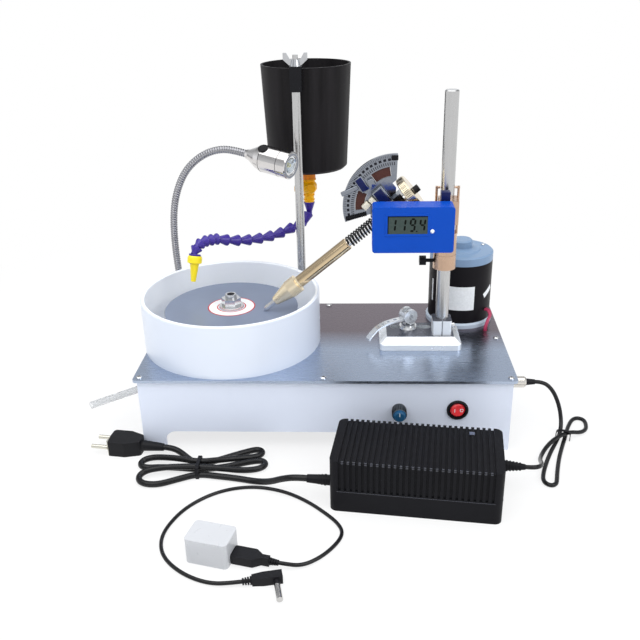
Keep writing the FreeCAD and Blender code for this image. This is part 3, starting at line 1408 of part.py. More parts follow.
def build_tank():
    """The drip tank on its rod, with valve, jointed hose and nozzle."""
    nut_low = PLATE_UNDER - dim.rod_nut_height
    stud_top = ROD_TOP + dim.rod_stud_length
    rod = (dim.rod_x, dim.rod_y)
    node("tank_rod", lathe("tank_rod", [
        (0, nut_low), (dim.rod_nut_radius, nut_low), (dim.rod_nut_radius, PLATE_UNDER),
        (dim.rod_radius, PLATE_UNDER), (dim.rod_radius, ROD_TOP), (dim.rod_stud_radius, ROD_TOP),
        (dim.rod_stud_radius, stud_top), (0, stud_top),
    ], (*rod, 0)))

    tank = (dim.tank_x, dim.tank_y)
    slope = (dim.tank_top_radius - dim.tank_bottom_radius) / dim.tank_height
    inner_low = dim.tank_bottom_radius - dim.tank_wall + slope * dim.tank_floor
    blank = lathe("tank_blank", [
        (dim.spigot_radius, 0), (dim.tank_bottom_radius - 3, 0), (dim.tank_bottom_radius, 3),
        (dim.tank_top_radius, dim.tank_height), (dim.tank_top_radius - dim.tank_wall, dim.tank_height),
        (inner_low, dim.tank_floor), (dim.spigot_radius, dim.tank_floor),
    ], (*tank, dim.tank_level))
    node("drip_tank", blank)

    half = dim.clamp_block / 2
    clamp_top = ROD_TOP + dim.clamp_cap
    clamp_low = clamp_top - dim.clamp_tall
    block = cuboid("clamp_blank", dim.clamp_block, dim.tank_y - dim.rod_y + half, dim.clamp_tall,
                   (dim.rod_x - half, dim.rod_y - half, clamp_low))
    bore = cylinder("clamp_bore", dim.rod_radius + dim.shaft_gap, ROD_TOP + dim.touch_gap, (*rod, 0))
    stud_way = cylinder("clamp_stud_way", dim.rod_stud_radius + dim.shaft_gap, stud_top * 2, (*rod, 0))
    cavity = cone("tank_outside", dim.tank_bottom_radius, dim.tank_top_radius + slope * dim.tank_height,
                  dim.tank_height * 2, (*tank, dim.tank_level))
    node("tank_clamp", cut("tank_clamp", block, bore, stud_way, cavity))

    wing_low = clamp_top + dim.touch_gap
    hub = cone("wing_hub", dim.wing_hub_radius, dim.wing_hub_radius * 0.8, dim.wing_hub_height, (*rod, wing_low))
    half_span = dim.wing_span / 2
    wings = []
    for side in (-1, 1):
        inner = side * dim.wing_hub_radius * 0.5
        outer = side * half_span
        wings.append(slab(f"wing_{'left' if side < 0 else 'right'}", "XZ_Plane", [
            (inner, 1), (side * half_span * 0.5, 1), (outer, dim.wing_hub_height),
            (outer, dim.wing_hub_height + dim.wing_rise), (outer * 0.72, dim.wing_hub_height + dim.wing_rise),
            (side * half_span * 0.42, dim.wing_hub_height), (inner, dim.wing_hub_height),
        ], dim.wing_thick, (dim.rod_x, dim.rod_y + dim.wing_thick / 2, wing_low)))
    thread = cylinder("wing_thread", dim.rod_stud_radius + dim.shaft_gap, stud_top, (*rod, ROD_TOP))
    node("wing_nut", cut("wing_nut", fuse("wing_blank", hub, *wings), thread))
    build_valve(tank)
    build_hose()


def build_valve(tank):
    """The drip valve under the tank and its turning tap."""
    top = dim.tank_level
    barrel_low = top - dim.valve_barrel
    ball_low = barrel_low - dim.valve_ball
    outlet = VALVE_OUTLET
    ball_mid = barrel_low - dim.valve_ball / 2
    body = lathe("valve_turned", [
        (dim.valve_bore, outlet), (dim.valve_neck_radius, outlet), (dim.valve_neck_radius, ball_low),
        (dim.valve_ball_radius * 0.7, ball_low), (dim.valve_ball_radius, ball_low + dim.valve_ball * 0.3),
        (dim.valve_ball_radius, ball_low + dim.valve_ball * 0.7),
        (dim.valve_ball_radius * 0.7, barrel_low), (dim.valve_barrel_radius, barrel_low + 2),
        (dim.valve_barrel_radius, top), (dim.spigot_radius, top),
        (dim.spigot_radius, top + dim.tank_floor + dim.spigot_rise),
        (dim.valve_bore, top + dim.tank_floor + dim.spigot_rise),
    ], (*tank, 0))
    boss = cylinder("tap_boss", dim.tap_boss_radius, dim.tap_boss, (*tank, ball_mid), AGAINST_X)
    pin_in = dim.valve_bore + 1
    socket = cylinder("tap_socket", dim.tap_pin_radius + dim.shaft_gap, dim.tap_boss,
                      (dim.tank_x - pin_in, dim.tank_y, ball_mid), AGAINST_X)
    way = cylinder("valve_way", dim.valve_bore, dim.valve_ball * 3, (*tank, ball_mid - dim.valve_ball * 1.5))
    node("tank_valve", cut("tank_valve", fuse("valve_blank", body, boss), socket, way))
    bar_face = dim.tap_boss + dim.touch_gap
    pin = cylinder("tap_pin", dim.tap_pin_radius, bar_face - pin_in,
                   (dim.tank_x - pin_in - dim.touch_gap, dim.tank_y, ball_mid), AGAINST_X)
    bar = cuboid("tap_bar", dim.tap_bar_thick, dim.tap_bar, dim.tap_bar_width,
                 (dim.tank_x - bar_face - dim.tap_bar_thick, dim.tank_y - dim.tap_bar / 2,
                  ball_mid - dim.tap_bar_width / 2))
    node("valve_tap", fuse("valve_tap", pin, bar))


def path_frames(wire, count):
    """Evenly spaced places along a wire with their headings."""
    frames = []
    for step in range(count + 1):
        wanted = wire.Length * step / count
        for edge in wire.OrderedEdges:
            if wanted <= edge.Length + 1e-6:
                break
            wanted -= edge.Length
        parameter = edge.getParameterByLength(min(wanted, edge.Length))
        forward = edge.valueAt(edge.FirstParameter)
        frames.append((edge.valueAt(parameter), edge.tangentAt(parameter), forward))
    return frames


def ring(spot, along, radius):
    """A circle square to a heading, with its seam on a steady side."""
    side = Vector(0, 0, 1).cross(along)
    if side.Length < 1e-3:
        side = Vector(1, 0, 0)
    side.normalize()
    circle = Part.Circle(spot, along, radius)
    circle.XAxis = side
    return Part.Wire(circle.toShape())


def build_hose():
    """The hose of nested cone links, with its bore, and the nozzle at its end."""
    outlet = Vector(dim.tank_x.number, dim.tank_y.number, VALVE_OUTLET.number)
    wire = route_wire([tuple(outlet + Vector(*step)) for step in HOSE_STEPS], "coolant_hose")
    links = int(dim.hose_links.number)
    waist = dim.hose_waist.number
    flare = dim.hose_radius.number
    profile = [waist, flare, flare * 0.84, flare * 0.68]
    frames = path_frames(wire, links * 4)
    outer = []
    inner = []
    for index, (spot, along, _) in enumerate(frames):
        radius = profile[index % 4]
        outer.append(ring(spot, along, radius))
        inner.append(ring(spot, along, dim.hose_bore.number))
    solid = Part.makeLoft(outer, True, True).cut(Part.makeLoft(inner, True, True))
    node("coolant_hose", feature("coolant_hose", solid))

    end, along, _ = frames[-1]
    turn = Rotation(Vector(0, 0, 1), along)
    nozzle = lathe("hose_nozzle", [
        (dim.nozzle_bore, 0), (dim.nozzle_radius * 0.85, 0), (dim.nozzle_radius, 2),
        (dim.nozzle_radius, dim.nozzle_collar - 1.5), (dim.nozzle_radius * 0.62, dim.nozzle_collar),
        (dim.nozzle_tip, dim.nozzle_length), (dim.nozzle_bore, dim.nozzle_length),
    ], (end.x, end.y, end.z), turn)
    node("hose_nozzle", nozzle)


def build_lamp():
    """The bendy lamp neck, the lamp head and its push button."""
    foot = Vector(LAMP_X.number, LAMP_Y.number, dim.deck_height.number)
    route = [foot + Vector(*step) for step in LAMP_STEPS]
    under = Vector(foot.x, foot.y, PLATE_UNDER.number)
    neck, _ = route_tube("lamp_neck", [tuple(point) for point in (under, *route)], dim.lamp_neck_radius)
    node("lamp_neck", neck)
    end = route[-1]
    along = (foot + Vector(*LAMP_FACE) - end).normalize()
    side = along.cross(Vector(0, 0, 1)).normalize()
    turn = Rotation(side.cross(along).normalize(), side, along, "ZXY")
    spot = (end.x, end.y, end.z)
    neck_radius = dim.lamp_neck_radius
    lens_low = dim.lamp_length - dim.lamp_lens_depth
    head = lathe("head_blank", [
        (0, 0), (neck_radius + 1, 0), (neck_radius + 2, 4), (dim.lamp_radius * 0.86, dim.lamp_taper * 0.7),
        (dim.lamp_radius, dim.lamp_taper), (dim.lamp_radius, dim.lamp_length - 1),
        (dim.lamp_radius - 1, dim.lamp_length), (dim.lamp_lens_radius, dim.lamp_length),
        (dim.lamp_lens_radius, lens_low), (0, lens_low),
    ], spot, turn)
    outward = Rotation(along, 28).multVec(side.cross(along).normalize())
    if outward.z < 0:
        outward = outward * -1
    button_turn = Rotation(Vector(0, 0, 1), outward)
    foot = end + along * dim.lamp_button_place.number + outward * (dim.lamp_radius.number * 0.72)
    depth = dim.lamp_radius * 0.28 + dim.lamp_button_proud
    well = cylinder("lamp_button_well", dim.lamp_button_radius + dim.shaft_gap, dim.lamp_radius,
                    (foot.x, foot.y, foot.z), button_turn)
    node("lamp_head", cut("lamp_head", head, well))
    rest = dim.lamp_button_proud
    start = foot + outward * rest.number
    node("lamp_button", lathe("lamp_button", [
        (0, 0), (dim.lamp_button_radius, 0), (dim.lamp_button_radius, depth - rest - 0.5),
        (dim.lamp_button_radius * 0.8, depth - rest), (0, depth - rest),
    ], (start.x, start.y, start.z), button_turn))


def adapter_place(along, across):
    """A spot on the bench measured from the adapter's front left corner."""
    turn = dim.adapter_turn
    return (
        dim.adapter_x + along * cosine(turn) - across * sine(turn),
        dim.adapter_y + along * sine(turn) + across * cosine(turn),
    )


def build_adapter():
    """The power adapter in two shells, with a boot for each lead."""
    length = dim.adapter_length
    width = dim.adapter_width
    outline = rectangle(0, 0, length, width)
    rounds = [(dim.adapter_corner, (0, 1, 2, 3))]
    spot = adapter_place(0, 0)
    low = slab("adapter_low", "XY_Plane", outline, dim.adapter_parting, (*spot, 0), ADAPTER_TURN, rounds)
    high = slab("adapter_high", "XY_Plane", outline, dim.adapter_height - dim.adapter_parting,
                (*spot, dim.adapter_parting), ADAPTER_TURN, rounds)
    count = int(dim.adapter_ribs.number)
    pitch = (length - 2 * dim.adapter_corner) / count
    grooves = [
        cuboid(f"groove_{index}", pitch * 0.45, width * 2, dim.adapter_groove * 2,
               (*adapter_place(dim.adapter_corner + pitch * (index + 0.3), -width / 2),
                dim.adapter_height - dim.adapter_groove), ADAPTER_TURN)
        for index in range(count)
    ]
    depth = dim.adapter_groove
    for side, across in (("front", -depth), ("back", width - depth)):
        for index in range(count):
            spot = adapter_place(dim.adapter_corner + pitch * (index + 0.3), across)
            grooves.append(cuboid(f"{side}_groove_{index}", pitch * 0.45, depth * 2, dim.adapter_height,
                                  (*spot, dim.adapter_parting + depth), ADAPTER_TURN))
    node("adapter_case", group("adapter_case", low, cut("adapter_top", high, *grooves)))

    boots = []
    for name, along, across, sign, cord in (
            ("left_boot", 0, dim.left_boot_place, -1, dim.mains_cord_radius),
            ("right_boot", length, dim.right_boot_place, 1, dim.dc_cord_radius)):
        heading = ADAPTER_TURN.multVec(Vector(sign, 0, 0))
        boots.append(lathe(name, [
            (0, 0), (dim.boot_radius, 0), (dim.boot_radius, 4), (cord * 1.25, dim.boot_length),
            (0, dim.boot_length),
        ], (*adapter_place(along, across), dim.adapter_parting), Rotation(Vector(0, 0, 1), heading)))
    node("adapter_boots", group("adapter_boots", *boots))


def build_leads():
    """The leads on the bench, and the plugs at their ends."""
    for name, route, radius in (
            ("dc_cord", DC_ROUTE, dim.dc_cord_radius),
            ("mains_cord", MAINS_ROUTE, dim.mains_cord_radius),
            ("lamp_lead", LAMP_LEAD_ROUTE, dim.lamp_lead_radius)):
        lead, wire = route_tube(name, route, radius)
        least_gap(wire, radius.number, name)
        node(name, lead)

    last, end = (Vector(*point) for point in MAINS_ROUTE[-2:])
    along = (end - last)
    along.z = 0
    along.normalize()
    turn = Rotation(Vector(-1, 0, 0), along)
    half = dim.mains_plug_width / 2
    neck = dim.boot_length
    reach = neck + dim.mains_plug_length
    boot = lathe("mains_boot", [
        (0, 0), (dim.mains_cord_radius * 1.25, 0), (dim.boot_radius + 0.8, neck), (0, neck),
    ], (end.x, end.y, end.z), Rotation(Vector(0, 0, 1), along))
    body = slab("mains_body", "XY_Plane", [
        (-neck, half * -0.55), (-neck, half * 0.55), (-neck - dim.mains_plug_length * 0.45, half),
        (-reach, half), (-reach, -half), (-neck - dim.mains_plug_length * 0.45, -half),
    ], dim.mains_plug_height, (end.x, end.y, end.z - dim.mains_plug_height / 2), turn,
        rounds=[(dim.adapter_corner / 2, (0, 1, 2, 3, 4, 5))])
    pins = []
    for index, side in enumerate((-0.5, 0.5)):
        foot = end + along * reach.number + turn.multVec(Vector(0, side * dim.mains_pin_spacing.number, 0))
        pins.append(cylinder(f"mains_pin_{index}", dim.mains_pin_radius, dim.mains_pin_length,
                             (foot.x, foot.y, foot.z), Rotation(Vector(0, 0, 1), along)))
    node("mains_plug", group("mains_plug", fuse("mains_plug_body", boot, body), *pins))
    node("lamp_lead_plugs", group("lamp_lead_plugs", usb_plug(), barrel_plug()))
    node("usb_charger", usb_charger())


def usb_line():
    """Where the flat plug starts, its heading and its turn."""
    start, following = (Vector(*point) for point in LAMP_LEAD_ROUTE[:2])
    along = start - following
    along.z = 0
    along.normalize()
    return start, along, Rotation(Vector(1, 0, 0), along)


def usb_plug():
    """The flat plug at the near end of the lamp lead."""
    start, along, turn = usb_line()
    length = dim.usb_length
    shoulder = length * 0.4
    half = dim.usb_width / 2
    neck = dim.usb_neck / 2
    bend = dim.usb_neck_length
    grip = slab("usb_grip", "XY_Plane", [
        (0, -neck), (bend, -neck), (shoulder, -half), (length, -half), (length, half), (shoulder, half),
        (bend, neck), (0, neck),
    ], dim.usb_height, (start.x, start.y, start.z - dim.usb_height / 2), turn,
        rounds=[(dim.usb_height / 4, (2, 3, 4, 5))])
    side = turn.multVec(Vector(0, -dim.usb_shell_width.number / 2, 0))
    corner = start + along * length.number + side
    shell = cuboid("usb_shell", dim.usb_shell_length, dim.usb_shell_width, dim.usb_shell_height,
                   (corner.x, corner.y, start.z - dim.usb_shell_height / 2), turn)
    return fuse("usb_plug", grip, shell)


def usb_charger():
    """The small white charger that the flat plug is pushed into."""
    start, along, turn = usb_line()
    half = dim.charger_width / 2
    corner = start + along * dim.usb_length.number
    block = slab("charger_block", "XY_Plane", rectangle(0, -half, dim.charger_length, half),
                 dim.charger_height, (corner.x, corner.y, 0), turn,
                 rounds=[(dim.charger_corner, (0, 1, 2, 3))])
    port_width = dim.usb_shell_width + 2 * dim.touch_gap
    port_height = dim.usb_shell_height + 2 * dim.touch_gap
    mouth = corner - along * dim.port_depth.number + turn.multVec(Vector(0, -port_width.number / 2, 0))
    port = cuboid("charger_port", dim.port_depth * 2, port_width, port_height,
                  (mouth.x, mouth.y, start.z - port_height / 2), turn)
    return cut("usb_charger", block, port)


def barrel_plug():
    """The right-angled round plug at the far end of the lamp lead."""
    before, end = (Vector(*point) for point in LAMP_LEAD_ROUTE[-2:])
    along = end - before
    along.z = 0
    along.normalize()
    turn = Rotation(Vector(1, 0, 0), along)
    half = dim.barrel_grip_width / 2
    neck = dim.barrel_neck / 2
    length = dim.barrel_grip_length
    shoulder = length * 0.38
    grip = slab("barrel_grip", "XY_Plane", [
        (0, -neck), (shoulder, -half), (length, -half), (length, half), (shoulder, half), (0, neck),
    ], end.z * 2, (end.x, end.y, 0), turn)
    across = turn.multVec(Vector(0, -1, 0))
    foot = end + along * dim.barrel_pin_place.number + across * half.number
    barrel = cylinder("barrel_pin", dim.barrel_pin_radius, dim.barrel_pin_length,
                      (foot.x, foot.y, foot.z), Rotation(Vector(0, 0, 1), across))
    return fuse("barrel_plug", grip, barrel)


def check_and_write():
    """Stop on any failed object, then write every sub-part to its own file."""
    doc.recompute()
    for thing in doc.Objects:
        if "Invalid" in thing.State or "Error" in thing.State:
            raise RuntimeError(f"{thing.Label} failed: {thing.State}")
    for name, thing in nodes.items():
        if thing.Shape.isNull() or not thing.Shape.isValid() or not thing.Shape.Solids:
            raise RuntimeError(f"{name} has no valid shape")
    os.makedirs("parts", exist_ok=True)
    for name, thing in nodes.items():
        thing.Shape.exportStep(f"parts/{name}.step")
    print(f"{len(nodes)} sub-parts written")


for build in (build_deck, build_base, build_bowl, build_spindle, build_drive, build_controls, build_mast,
              build_carriage, build_quill, build_tank, build_lamp, build_adapter, build_leads):
    build()
check_and_write()
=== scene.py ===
"""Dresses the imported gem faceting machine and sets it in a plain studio.

Sizes in the classes are in millimetres in the frame of the CAD model, and turn into metres where a
mesh or curve is made.
"""
from __future__ import annotations

import json
import logging
import math
from dataclasses import dataclass
from enum import Enum
from typing import Sequence

import bmesh
import bpy
from mathutils import Matrix, Vector

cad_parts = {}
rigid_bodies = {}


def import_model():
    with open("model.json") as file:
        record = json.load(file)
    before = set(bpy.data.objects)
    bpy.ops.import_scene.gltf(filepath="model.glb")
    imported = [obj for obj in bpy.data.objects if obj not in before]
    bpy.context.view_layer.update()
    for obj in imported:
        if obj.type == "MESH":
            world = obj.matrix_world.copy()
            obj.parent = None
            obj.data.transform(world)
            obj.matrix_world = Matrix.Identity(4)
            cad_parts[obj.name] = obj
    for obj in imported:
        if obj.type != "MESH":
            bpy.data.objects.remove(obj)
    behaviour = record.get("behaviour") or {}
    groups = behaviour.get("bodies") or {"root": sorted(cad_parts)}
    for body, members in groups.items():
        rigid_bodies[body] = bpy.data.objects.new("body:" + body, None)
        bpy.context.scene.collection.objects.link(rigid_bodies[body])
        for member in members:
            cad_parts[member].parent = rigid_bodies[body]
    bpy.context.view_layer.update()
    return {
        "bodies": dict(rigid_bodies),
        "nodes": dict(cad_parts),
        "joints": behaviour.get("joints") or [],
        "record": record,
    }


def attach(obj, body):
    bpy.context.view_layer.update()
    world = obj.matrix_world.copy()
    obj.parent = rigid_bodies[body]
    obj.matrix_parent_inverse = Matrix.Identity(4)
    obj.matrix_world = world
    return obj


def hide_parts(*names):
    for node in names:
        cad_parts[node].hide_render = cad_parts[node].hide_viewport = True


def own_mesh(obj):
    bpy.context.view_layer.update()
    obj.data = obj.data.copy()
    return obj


LOG = logging.getLogger("faceting_machine")
MM = 0.001
FULL_TURN = 360.0
Point = tuple[float, float, float]
Colour = tuple[float, float, float]

# The lap's upright axis, and the pivot of the head.
LAP_AXIS: Point = (-107.0, 0.0, 0.0)
HUB: Point = (75.2, -11.5, 244.565)

# The quill's slope in degrees, and its directions away from the stone and towards it.
QUILL_ANGLE = 39.5
QUILL_RISE: Point = (math.cos(math.radians(QUILL_ANGLE)), 0.0, math.sin(math.radians(QUILL_ANGLE)))
QUILL: Point = (-QUILL_RISE[0], 0.0, -QUILL_RISE[2])


def metres(point: Sequence[float]) -> Vector:
    """Returns a point given in millimetres as a vector in metres."""
    return Vector(point) * MM


class Axis(Enum):
    """The direction that a brushed or streaked finish runs in."""

    X = (0.06, 1.0, 1.0)
    Z = (1.0, 1.0, 0.06)


class Body(str, Enum):
    """The moving bodies of the machine that pieces ride on."""

    BASE = "base"
    LAP = "lap"
    FOOT = "foot"
    CARRIAGE = "carriage"
    HEAD = "head"
    CORE = "quill_core"
    LAMP = "lamp"
    TANK = "tank"
    KNOB = "knob"
    ROCKER = "rocker"


class FarEnd(str, Enum):
    """What a lead ends in."""

    PLUG = "plug"
    CONNECTOR = "connector"
    FITTING = "fitting"


class Lay(str, Enum):
    """How a lead lies on the bench."""

    LOOSE = "loose"
    COILED = "coiled"


class NodeGraph:
    """Adds and links nodes in one tree."""

    def __init__(self, tree: bpy.types.NodeTree) -> None:
        """Starts on an existing tree."""
        self.tree = tree

    def add(self, kind: str, inputs: dict | None = None, **settings: object) -> bpy.types.Node:
        """Adds a node.

        Args:
            kind: Blender's name of the node type.
            inputs: values, or output sockets to link, by the input's name or number.
            settings: properties of the node.

        Returns:
            The new node.
        """
        node = self.tree.nodes.new(kind)
        for name, value in settings.items():
            setattr(node, name, value)
        for name, value in (inputs or {}).items():
            self.feed(node.inputs[name], value)
        return node

    def feed(self, socket: bpy.types.NodeSocket, value: object) -> None:
        """Links an output to a socket, or sets its value.

        Args:
            socket: the input to feed.
            value: an output socket, or a plain value.
        """
        if isinstance(value, bpy.types.NodeSocket):
            self.tree.links.new(value, socket)
        else:
            socket.default_value = value

    def math(self, operation: str, *values: object) -> bpy.types.NodeSocket:
        """Returns the result of a Math node on up to three values."""
        node = self.add("ShaderNodeMath", dict(enumerate(values)), operation=operation)
        return node.outputs[0]

    def vector(self, operation: str, *values: object) -> bpy.types.Node:
        """Returns a Vector Math node on one or two vectors."""
        return self.add("ShaderNodeVectorMath", dict(enumerate(values)), operation=operation)


class SurfaceGraph(NodeGraph):
    """The node graph of one material, with the patterns that the finishes share."""

    def __init__(self, name: str) -> None:
        """Makes a material with a shader that nothing feeds yet.

        Args:
            name: the material's name.
        """
        self.material = bpy.data.materials.new(name)
        self.material.use_nodes = True
        super().__init__(self.material.node_tree)
        self.tree.nodes.clear()
        self.place = self.add("ShaderNodeTexCoord").outputs["Object"]
        self.shader = self.add("ShaderNodeBsdfPrincipled")
        self.output = self.add("ShaderNodeOutputMaterial")
        self.tree.links.new(self.shader.outputs[0], self.output.inputs[0])

    def surface(self, socket: str, value: object) -> None:
        """Links an output to an input of the shader, or sets that input's value."""
        self.feed(self.shader.inputs[socket], value)

    def noise(self, scale: float, detail: float = 3.0,
              stretch: tuple[float, float, float] = (1.0, 1.0, 1.0)) -> bpy.types.NodeSocket:
        """Reads noise over the object.

        Args:
            scale: how fine the noise is.
            detail: how many finer layers it has.
            stretch: factors on the three axes, of which a small one draws the noise out along its axis.

        Returns:
            The noise, mostly from 0.25 to 0.75.
        """
        mapping = self.add("ShaderNodeMapping", {"Vector": self.place, "Scale": stretch})
        noise = self.add("ShaderNodeTexNoise",
                         {"Vector": mapping.outputs[0], "Scale": scale, "Detail": detail})
        return noise.outputs["Fac"]

    def between(self, factor: bpy.types.NodeSocket, low: float, high: float,
                start: float = 0.25, end: float = 0.75) -> bpy.types.NodeSocket:
        """Spreads a factor over another range.

        Args:
            factor: the factor to spread.
            low: what it becomes at start.
            high: what it becomes at end.
            start: the factor's lower limit.
            end: the factor's upper limit.

        Returns:
            The spread factor.
        """
        node = self.add("ShaderNodeMapRange", {
            "Value": factor, "From Min": start, "From Max": end, "To Min": low, "To Max": high})
        return node.outputs[0]

    def shade(self, factor: object, low: object, high: object) -> bpy.types.NodeSocket:
        """Mixes two colours.

        Args:
            factor: the share of the second colour.
            low: the first colour, as numbers or a socket.
            high: the second colour, as numbers or a socket.

        Returns:
            The mixed colour.
        """
        node = self.add("ShaderNodeMix", data_type="RGBA")
        self.feed(node.inputs[0], factor)
        for socket, value in ((node.inputs[6], low), (node.inputs[7], high)):
            self.feed(socket, value if isinstance(value, bpy.types.NodeSocket) else (*value, 1.0))
        return node.outputs[2]

    def gloss(self, factor: bpy.types.NodeSocket, roughness: float, low: float, high: float) -> None:
        """Varies the shader's roughness between two shares of a middle value."""
        self.surface("Roughness", self.between(factor, roughness * low, min(1.0, roughness * high)))

    def bump(self, height: bpy.types.NodeSocket, strength: float, distance: float) -> None:
        """Gives the surface a fine relief.

        Args:
            height: the pattern that stands up.
            strength: the relief's share, from 0 to 1.
            distance: its depth in metres.
        """
        node = self.add("ShaderNodeBump", {
            "Height": height, "Strength": strength, "Distance": distance})
        self.surface("Normal", node.outputs[0])

    def radius(self, centre: Point) -> bpy.types.NodeSocket:
        """Measures from an upright axis.

        Args:
            centre: a point on the axis, in millimetres.

        Returns:
            The distance in metres.
        """
        shift = self.vector("SUBTRACT", self.place, tuple(metres(centre)))
        flat = self.vector("MULTIPLY", shift.outputs[0], (1.0, 1.0, 0.0))
        return self.vector("LENGTH", flat.outputs[0]).outputs["Value"]

    def beyond(self, normal: Point, level: float) -> bpy.types.NodeSocket:
        """Returns 1 on the far side of a plane; level is in metres along its normal."""
        dot = self.vector("DOT_PRODUCT", self.place, normal)
        return self.math("GREATER_THAN", dot.outputs["Value"], level)


def tint(colour: Colour, factor: float) -> Colour:
    """Returns a colour made lighter or darker by a factor."""
    return tuple(min(1.0, part * factor) for part in colour)


@dataclass(frozen=True)
class Finish:
    """A surface finish that makes its own material once."""

    name: str
    colour: Colour

    def material(self) -> bpy.types.Material:
        """Returns the finish's material, made the first time it is asked for."""
        title = f"finish_{self.name}"
        found = bpy.data.materials.get(title)
        if found is None:
            graph = SurfaceGraph(title)
            self.paint(graph)
            found = graph.material
        return found

    def paint(self, graph: SurfaceGraph) -> None:
        """Builds the finish's nodes; each kind of finish has its own.

        Args:
            graph: the material's graph.
        """
        raise NotImplementedError


@dataclass(frozen=True)
class MouldedPlastic(Finish):
    """Plastic from a mould: a fine grain, faint clouding and scuffs."""

    roughness: float = 0.35
    grain: float = 2400.0
    relief: float = 0.12
    coat: float = 0.0
    clouding: float = 0.06
    shine: float = 0.5

    def paint(self, graph: SurfaceGraph) -> None:
        """Clouds the colour, scuffs the gloss and adds the grain.

        Args:
            graph: the material's graph.
        """
        graph.surface("Base Color", self.clouded(graph))
        scuff = graph.noise(scale=190.0, detail=5.0)
        graph.gloss(scuff, self.roughness, low=0.8, high=1.3)
        graph.surface("Coat Weight", self.coat)
        graph.surface("Specular IOR Level", self.shine)
        graph.bump(graph.noise(self.grain, detail=2.0), self.relief, distance=0.00008)

    def clouded(self, graph: SurfaceGraph) -> bpy.types.NodeSocket:
        """Clouds the colour.

        Args:
            graph: the material's graph.

        Returns:
            The clouded colour.
        """
        cloud = graph.noise(scale=28.0, detail=4.0)
        dark = tint(self.colour, 1.0 - self.clouding)
        pale = tint(self.colour, 1.0 + self.clouding)
        return graph.shade(cloud, dark, pale)


@dataclass(frozen=True)
class StreakedPlastic(MouldedPlastic):
    """Dark plastic with faint upright flow streaks."""

    def paint(self, graph: SurfaceGraph) -> None:
        """Puts streaks along Z in place of the clouds and scuffs.

        Args:
            graph: the material's graph.
        """
        super().paint(graph)
        streak = graph.noise(scale=95.0, detail=4.0, stretch=Axis.Z.value)
        dark = tint(self.colour, 0.5)
        pale = tint(self.colour, 1.8)
        graph.surface("Base Color", graph.shade(graph.between(streak, 0.0, 1.0), dark, pale))
        graph.gloss(streak, self.roughness, low=0.75, high=1.25)


@dataclass(frozen=True)
class BowlPlastic(MouldedPlastic):
    """Thin white plastic, with painted light that makes it paler on the inside."""

    centre: Point = (0.0, 0.0, 0.0)
    wall: float = 100.0
    painted_light_inside: Colour = (1.0, 1.0, 1.0)

    def clouded(self, graph: SurfaceGraph) -> bpy.types.NodeSocket:
        """Returns the clouded colour outside, and the paler colour of painted light within the middle of the
        wall.
        """
        # Painted light: the inside of the bowl takes a paler colour in place of the light that it lacks.
        within = graph.math("LESS_THAN", graph.radius(self.centre), self.wall * MM)
        return graph.shade(within, super().clouded(graph), self.painted_light_inside)


@dataclass(frozen=True)
class BrushedMetal(Finish):
    """Metal with fine lines along one direction."""

    along: Axis = Axis.X
    roughness: float = 0.3
    lines: float = 900.0
    contrast: float = 0.12
    relief: float = 0.08

    def paint(self, graph: SurfaceGraph) -> None:
        """Draws the brushing in colour, gloss and relief.

        Args:
            graph: the material's graph.
        """
        line = graph.noise(self.lines, detail=3.0, stretch=self.along.value)
        graph.surface("Base Color", self.brushed(graph, line))
        graph.surface("Metallic", 1.0)
        graph.gloss(line, self.roughness, low=0.8, high=1.25)
        graph.bump(line, self.relief, distance=0.00005)

    def brushed(self, graph: SurfaceGraph, line: bpy.types.NodeSocket) -> bpy.types.NodeSocket:
        """Colours the lines, a little duller in slow patches.

        Args:
            graph: the material's graph.
            line: the brushing, as noise.

        Returns:
            The colour.
        """
        patch = graph.noise(scale=9.0, detail=3.0)
        dull = tint(self.colour, 1.0 - self.contrast)
        streaks = graph.shade(graph.between(line, 0.0, 1.0), dull, self.colour)
        return graph.shade(graph.between(patch, 0.0, 0.3), streaks, tint(self.colour, 0.9))


@dataclass(frozen=True)
class DeckMetal(BrushedMetal):
    """The brushed deck plate, cool in front and duller and warmer behind the bowl, where the colour is a
    painted reflection.
    """

    painted_reflection_behind: Colour = (0.3, 0.3, 0.3)
    turn: tuple[float, float] = (-0.02, 0.03)
    waver: float = 0.02

    def brushed(self, graph: SurfaceGraph, line: bpy.types.NodeSocket) -> bpy.types.NodeSocket:
        """Colours the lines, changing over from the front colour to the painted reflection behind between two
        depths in metres.

        Args:
            graph: the material's graph.
            line: the brushing, as noise.

        Returns:
            The colour.
        """
        depth = graph.add("ShaderNodeSeparateXYZ", {0: graph.place}).outputs["Y"]
        wave = graph.math("MULTIPLY_ADD", graph.noise(scale=7.0, detail=2.0), self.waver, depth)
        # Painted reflection: towards the back the deck changes to the darker, warmer colour that it would
        # mirror behind the bowl.
        back = graph.between(wave, 0.0, 1.0, *self.turn)
        base = graph.shade(back, self.colour, self.painted_reflection_behind)
        share = 1.0 - self.contrast
        dull = graph.shade(back, tint(self.colour, share), tint(self.painted_reflection_behind, share))
        return graph.shade(graph.between(line, 0.0, 1.0), dull, base)


@dataclass(frozen=True)
class PolishedMetal(Finish):
    """Bright metal with smudges and a few fine scratches."""

    roughness: float = 0.12
    smudge: float = 60.0
    metallic: float = 1.0

    def paint(self, graph: SurfaceGraph) -> None:
        """Lets smudges dull the polish and tint the colour a little.

        Args:
            graph: the material's graph.
        """
        smudge = graph.noise(self.smudge, detail=5.0)
        dull = tint(self.colour, 0.88)
        graph.surface("Base Color", graph.shade(graph.between(smudge, 0.0, 1.0), self.colour, dull))
        graph.surface("Metallic", self.metallic)
        graph.gloss(smudge, self.roughness, low=0.7, high=1.6)
        scratch = graph.noise(scale=700.0, detail=2.0, stretch=Axis.X.value)
        graph.bump(scratch, strength=0.04, distance=0.00004)


